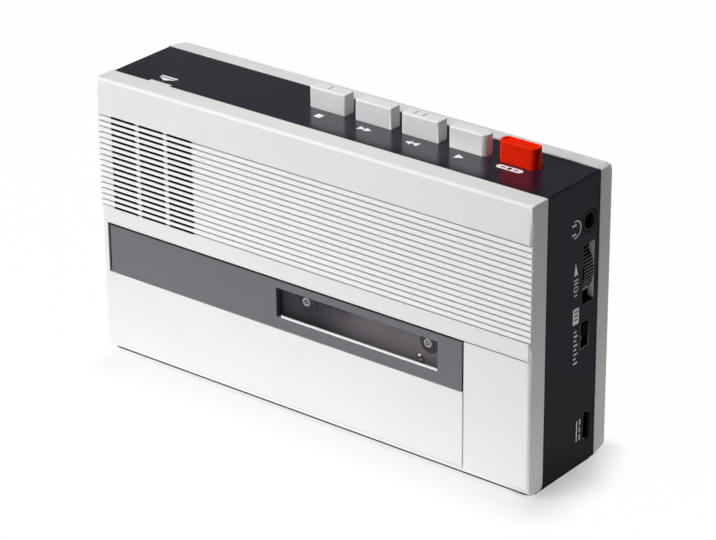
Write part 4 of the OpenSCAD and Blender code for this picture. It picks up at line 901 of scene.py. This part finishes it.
# The dot in the hollow is a painted highlight.
highlight_dot_profile, highlight_dot_sides = [(0.05, -0.64), (0.24, -0.62), (0.3, -0.54), (0.3, -0.3)], 20
dimple_profile = [(0.1, -0.34), (0.6, -0.36), (0.72, -0.4), (0.72, -0.25)]
cap_black = plastic("cap_black", tone(5, 5, 7), tone(10, 10, 12), rough=0.6, gloss=0.04)
for side in ("takeup", "supply"):
    shaft_low, shaft_high = (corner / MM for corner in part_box(side + "_shaft"))
    reel_middle = ((shaft_low.x + shaft_high.x) / 2, (shaft_low.z + shaft_high.z) / 2)
    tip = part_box(side + "_spindle")[0].y / MM
    reel = body_of[side + "_spindle"]
    cap = bmesh.new()
    lathe(cap, reel_middle, cap_profile, tip)
    shaped(side + "_cap", cap, cap_black, reel)
    ring = bmesh.new()
    lathe(ring, reel_middle, ring_profile, tip)
    lathe(ring, reel_middle, highlight_dot_profile, tip, highlight_dot_sides)
    shaped(side + "_ring", ring, highlight_and_ring_white, reel)
    dimple = bmesh.new()
    lathe(dimple, reel_middle, dimple_profile, tip)
    shaped(side + "_dimple", dimple, gap_shadow_and_dimple_black, reel)

# The capstan is a ground steel shaft in a heavy cast flywheel, turned true on its rim.
# A strap holds its far end; the motor turns it by a rubber belt, and a second belt turns the take-up reel.
cast_zinc = metal(
    "cast_zinc", tone(150, 150, 152), tone(172, 172, 172), 0.38, brush=(1500, 1500, 1500), scratch=0.01)
motor_tin = metal("motor_tin", tone(176, 176, 178), tone(198, 198, 198), 0.3, brush=(200, 200, 3000))
belt_rubber = plastic(
    "belt_rubber", tone(18, 18, 19), tone(26, 26, 27), rough=0.75, gloss=0.25, grain=0.02, grain_size=0.2)
moulded("capstan_shaft", "capstan_rod", bright_steel)
moulded("flywheel", "flywheel_disc", cast_zinc)
moulded("flywheel_bracket", "flywheel_strap", zinc)
moulded("motor_can", "motor_case", motor_tin)
moulded("motor_bracket", "motor_plate", zinc)
moulded("motor_shaft", "motor_spindle", bright_steel)
moulded("motor_pulley", "motor_wheel", bronze)
moulded("drive_belt", "main_belt", belt_rubber)
moulded("reel_belt", "reel_drive_belt", belt_rubber)

# The head plate slides down with the play key and carries the two heads, which are screwed to it.
# The pinch roller, a rubber tyre on a steel arm, swings with it and presses the tape to the capstan.
head_steel = metal("head_steel", tone(186, 184, 178), tone(212, 210, 204), 0.2, brush=(2500, 300, 300))
moulded("head_plate", "head_slide_plate", zinc)
moulded("tape_head", "play_head", head_steel, radius=0.1)
moulded("erase_head", "wipe_head", black_plastic, radius=0.1)
moulded("pinch_arm", "roller_arm", bright_steel)
moulded("pinch_roller", "roller_tyre", belt_rubber)

# The five keys are moulded caps that stand in a row through the top of the frame, led by a rail inside.
# Four are pale grey with softly rounded tops; the record key is red with a dished top.
# Grey ticks are printed on two of them.
key_pale = plastic("key_pale", tone(243, 242, 241), tone(248, 247, 246), rough=0.36, gloss=0.3)
key_red = plastic("key_red", tone(247, 36, 3), tone(253, 44, 5), rough=0.36, gloss=0.05)
for key in ("stop", "forward", "rewind", "play"):
    moulded(key + "_key", key + "_cap", key_pale, radius=0.2, shortest=0.0)
moulded("record_key", "record_cap", key_red, radius=0.14, shortest=0.0)
moulded("key_guide", "key_rail", black_plastic)
tick_ink = plastic("tick_ink", tone(120, 118, 116), tone(138, 136, 134), rough=0.5)
key_tick_left, key_tick_right, key_tick_front, key_tick_back = 0.15, 0.2, 2.1, 4.3
for key, places in (("stop", (-8.0,)), ("rewind", (21.6, 24.6))):
    key_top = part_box(key + "_key")[1].z / MM
    printed(key + "_ticks", [
        bar(x - key_tick_left, key_tick_front, x + key_tick_right, key_tick_back) for x in places],
        lambda a, b, lift: (a, b, key_top + lift), tick_ink, body_of[key + "_key"])

# Each key stands on a coil spring, wound from bright steel wire and seated in the frame.
coil_tree, coil_in = node_tree("key_coil", ["Coil radius", "Wire radius", "Turns", "Height"])
coil_cuts, wire_sides = 28, 8
coil_path = step(coil_tree, "GeometryNodeCurveSpiral", None, {
    "Resolution": coil_cuts, "Rotations": coil_in["Turns"], "Start Radius": coil_in["Coil radius"],
    "End Radius": coil_in["Coil radius"], "Height": coil_in["Height"]})
coil_wire = step(coil_tree, "GeometryNodeCurvePrimitiveCircle", {"mode": "RADIUS"}, {
    "Resolution": wire_sides, "Radius": coil_in["Wire radius"]})
coil_swept = step(coil_tree, "GeometryNodeCurveToMesh", None, {
    "Curve": coil_path[0], "Profile Curve": coil_wire[0], "Fill Caps": True})
close_tree(coil_tree, coil_swept[0], bright_steel)
wire, coil_turns, pressed_share = 0.22 * MM, 7.0, 0.494
for key in ("stop", "forward", "rewind", "play", "record"):
    coil_low, coil_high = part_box(key + "_spring")
    coil_mid = (coil_low + coil_high) / 2
    coil = grown(key + "_coil", coil_tree, {
        "Coil radius": (coil_high.x - coil_low.x) / 2 - wire, "Wire radius": wire, "Turns": coil_turns,
        "Height": coil_high.z - coil_low.z - 2 * wire}, bright_steel)
    coil.data.transform(Matrix.Translation((coil_mid.x, coil_mid.y, coil_low.z + wire)))
    coil.data.shade_smooth()
    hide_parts(key + "_spring")
    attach(coil, "housing")
    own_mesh(coil)

# The speaker sits behind the slots: a pressed steel basket, a paper cone glued into it and a magnet.
# The microphone is a small tin capsule, held under its slit in the top.
cone_paper = plastic(
    "cone_paper", tone(34, 33, 32), tone(46, 44, 42), rough=0.85, gloss=0.2, grain=0.05, grain_size=0.8)
capsule_tin = metal("capsule_tin", tone(180, 180, 180), tone(200, 200, 200), 0.3)
moulded("speaker_frame", "speaker_basket", zinc)
moulded("speaker_cone", "paper_cone", cone_paper)
moulded("speaker_magnet", "magnet_cup", zinc)
moulded("microphone", "microphone_capsule", capsule_tin)

# The circuit board stands at the right side and carries the jack, the volume wheel, the switch and the
# charging socket. It is green solder mask over copper; jack and volume control are soldered to it.
board_green = plastic(
    "board_green", tone(20, 74, 42), tone(28, 96, 56), rough=0.35, gloss=0.5, grain=0.02, grain_size=1.2,
    clouds=400.0)
jack_black = plastic("jack_black", tone(8, 8, 10), tone(13, 13, 15), rough=0.5, gloss=0.08)
moulded("main_board", "circuit_board", board_green)
moulded("headphone_jack", "jack_body", jack_black, radius=0.12)
moulded("volume_pot", "pot_case", zinc)

# The volume wheel is a black moulded cup that turns on its control's shaft and shows through a slot.
# Fine ribs round its rim give the thumb a hold; their crests are painted pale, a painted highlight.
wheel_low, wheel_high = (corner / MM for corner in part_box("volume_wheel"))
wheel_axis = (wheel_high.x - (wheel_high.z - wheel_low.z) / 2, (wheel_high.z + wheel_low.z) / 2)
wheel_middle = (wheel_high.y + wheel_low.y) / 2
rim_r, rim_w, rim_step, rim_lip = 10.0, wheel_high.y - wheel_low.y, 0.45, 0.2
rib_r, rib_count, rib_sides, crest_highlight_start = 0.17, 70, 10, 0.1
cup_r, cup_face, cup_pole, cup_sides, spigot_r, spigot_long = 8.6, 1.5, 0.05, 120, 1.5, 3.8
wheel_black, wheel_shader, wheel_place = new_finish("wheel_black")
wheel_speckle = wheel_place.noise(900.0, 3.0)
wheel_x = wheel_place.axis(0) - wheel_axis[0] * MM
wheel_z = wheel_place.axis(2) - wheel_axis[1] * MM
wheel_out = (wheel_x * wheel_x + wheel_z * wheel_z).root()
# The pale crests are a painted highlight.
wheel_crest_highlight = wheel_out.ramp((rim_r + crest_highlight_start) * MM, (rim_r + rib_r) * MM)
wheel_place.feed(wheel_shader, {
    "Base Color": (wheel_crest_highlight * (0.7 + wheel_speckle * 0.5)).between(tone(3, 3, 4), tone(222, 221, 224)),
    "Roughness": 0.5 + wheel_speckle.swing(0.2),
    "Specular IOR Level": 0.03,
})
rim_near, rim_far = rim_lip / 2, rim_w - rim_lip / 2
cup = bmesh.new()
lathe(cup, wheel_axis, [
    (cup_pole, 0.0), (rim_r - rim_step, 0.0), (rim_r - rim_step, rim_near), (rim_r, rim_near),
    (rim_r, rim_far), (rim_r - rim_step, rim_far), (rim_r - rim_step, rim_w), (cup_r, rim_w),
    (cup_r, cup_face), (spigot_r, cup_face), (spigot_r, spigot_long), (cup_pole, spigot_long)],
    wheel_low.y, cup_sides)
rim_tree, rim_in = node_tree("ribbed_wheel", ["Rim radius", "Rib radius", "Rib length"])
rim_ring = step(rim_tree, "GeometryNodeMeshCircle", None, {
    "Vertices": rib_count, "Radius": rim_in["Rim radius"]})
rim_rib = step(rim_tree, "GeometryNodeMeshCylinder", None, {
    "Vertices": rib_sides, "Radius": rim_in["Rib radius"], "Depth": rim_in["Rib length"]})
rim_row = step(rim_tree, "GeometryNodeInstanceOnPoints", None, {
    "Points": rim_ring[0], "Instance": rim_rib[0]})
rim_set = step(rim_tree, "GeometryNodeTransform", None, {
    "Geometry": rim_row[0], "Rotation": (math.pi / 2, 0, 0),
    "Translation": Vector((wheel_axis[0], wheel_middle, wheel_axis[1])) * MM})
rim_whole = step(rim_tree, "GeometryNodeJoinGeometry")
for part in (rim_in["Geometry"], rim_set[0]):
    rim_tree.links.new(part, rim_whole[0].node.inputs[0])
close_tree(rim_tree, rim_whole[0], wheel_black)
rim = grown("volume_rim", rim_tree, {
    "Rim radius": rim_r * MM, "Rib radius": rib_r * MM, "Rib length": (rim_w - rim_lip) * MM},
    wheel_black, mesh_of("volume_rim", cup))
stands_for(evened(rim), "volume_wheel")

# A short white strip lies across the wheel's rim.
# It sits between two ribs.
strip_turn, strip_half, strip_root, strip_crest = math.radians(-31), 0.28, 0.2, 0.05
strip_near, strip_far = 0.15, 3.6
rim_white_strip = bmesh.new()
block(rim_white_strip, (rim_r - strip_root, wheel_low.y + strip_near, -strip_half),
      (rim_r + rib_r + strip_crest, wheel_low.y + strip_far, strip_half))
bmesh.ops.transform(rim_white_strip, verts=rim_white_strip.verts, matrix=Matrix.Translation(
    Vector((wheel_axis[0], 0, wheel_axis[1])) * MM) @ Matrix.Rotation(-strip_turn, 4, "Y"))
shaped("wheel_white_strip", rim_white_strip, mark_ink, body_of["volume_wheel"], radius=0.05)

# A pale liner closes the wheel's slot along its rear edge and keeps dust out.
# It is a thin plastic strip, cemented into the frame behind the wheel.
liner_pale = plastic("liner_pale", tone(246, 246, 246), tone(252, 252, 252), rough=0.45, gloss=0.3)
liner_in, liner_out, liner_end, liner_near, liner_far = 1.9, 0.15, 2.45, 0.12, 0.29
liner = bmesh.new()
block(liner, (frame_high.x - liner_in, wheel_high.y + liner_near, wheel_low.z + liner_end),
      (frame_high.x - liner_out, wheel_high.y + liner_far, wheel_high.z - liner_end))
shaped("wheel_slot_liner", liner, liner_pale, "housing", radius=0.03)

# The slide switch is a tin case on the board with a black moulded knob that runs in a slot of the frame.
# The charging socket is a shell of darkened steel, folded and soldered to the board.
knob_black = plastic("knob_black", tone(6, 6, 8), tone(11, 11, 13), rough=0.6, gloss=0.02)
dark_steel = metal("dark_steel", tone(58, 58, 62), tone(72, 72, 76), 0.35, brush=(3000, 3000, 300))
moulded("switch_body", "switch_case", zinc)
moulded("switch_knob", "switch_slider", knob_black, radius=0.12)
moulded("usb_socket", "charge_socket", dark_steel, radius=0.06)

# The rear cover is moulded in the lid's white and screwed on from behind.
# Its four corners are drawn in to a round, more and more from its front edge to its back.
shell_white = plastic("shell_white", shell_low, shell_high, rough=0.42, gloss=0.3)
rear_shell = moulded("rear_cover", "rear_shell", shell_white, radius=0.12, shortest=3.0)
rear_low, rear_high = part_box("rear_cover")
rear_middle, rear_half = (rear_low + rear_high) / 2, (rear_high - rear_low) / 2
rear_r, rear_cuts, rear_run, cut_gap = 2.6 * MM, 6, 4 * MM, 1e-7
across_axes = (0, 2)
rear_shape = bmesh.new()
rear_shape.from_mesh(rear_shell.data)
for axis in across_axes:
    across = Vector([float(axis == other) for other in range(3)])
    for n in range(rear_cuts):
        run = rear_r * (n + 1) / rear_cuts
        for spot in (rear_low[axis] + run, rear_high[axis] - run):
            everything = rear_shape.verts[:] + rear_shape.edges[:] + rear_shape.faces[:]
            bmesh.ops.bisect_plane(
                rear_shape, geom=everything, dist=cut_gap, plane_co=across * spot, plane_no=across)
for corner in rear_shape.verts:
    off = [corner.co[axis] - rear_middle[axis] for axis in across_axes]
    over = [(abs(off[n]) - rear_half[axis] + rear_r) / rear_r for n, axis in enumerate(across_axes)]
    if min(over) > 0:
        grow = min(max((corner.co.y - rear_low.y) / rear_run, 0.0), 1.0)
        for n, axis in enumerate(across_axes):
            drawn_in = over[n] * (1 - math.sqrt(1 - over[1 - n] ** 2 / 2)) * grow * rear_r
            corner.co[axis] -= math.copysign(drawn_in, off[n])
rear_shape.to_mesh(rear_shell.data)
rear_shape.free()
evened(rear_shell)

# The battery door is hinged in the rear cover, of the same white plastic, and closes a black moulded tray.
# Two cells in printed sleeves lie in the tray between contacts of sprung steel.
cell_wrap = plastic("cell_wrap", tone(60, 84, 120), tone(70, 96, 134), rough=0.3)
moulded("battery_door", "battery_hatch", shell_white, radius=0.12, shortest=3.0)
moulded("battery_tray", "battery_trough", black_plastic)
moulded("battery_cells", "cell_pair", cell_wrap)
moulded("battery_contacts", "contact_set", bright_steel)
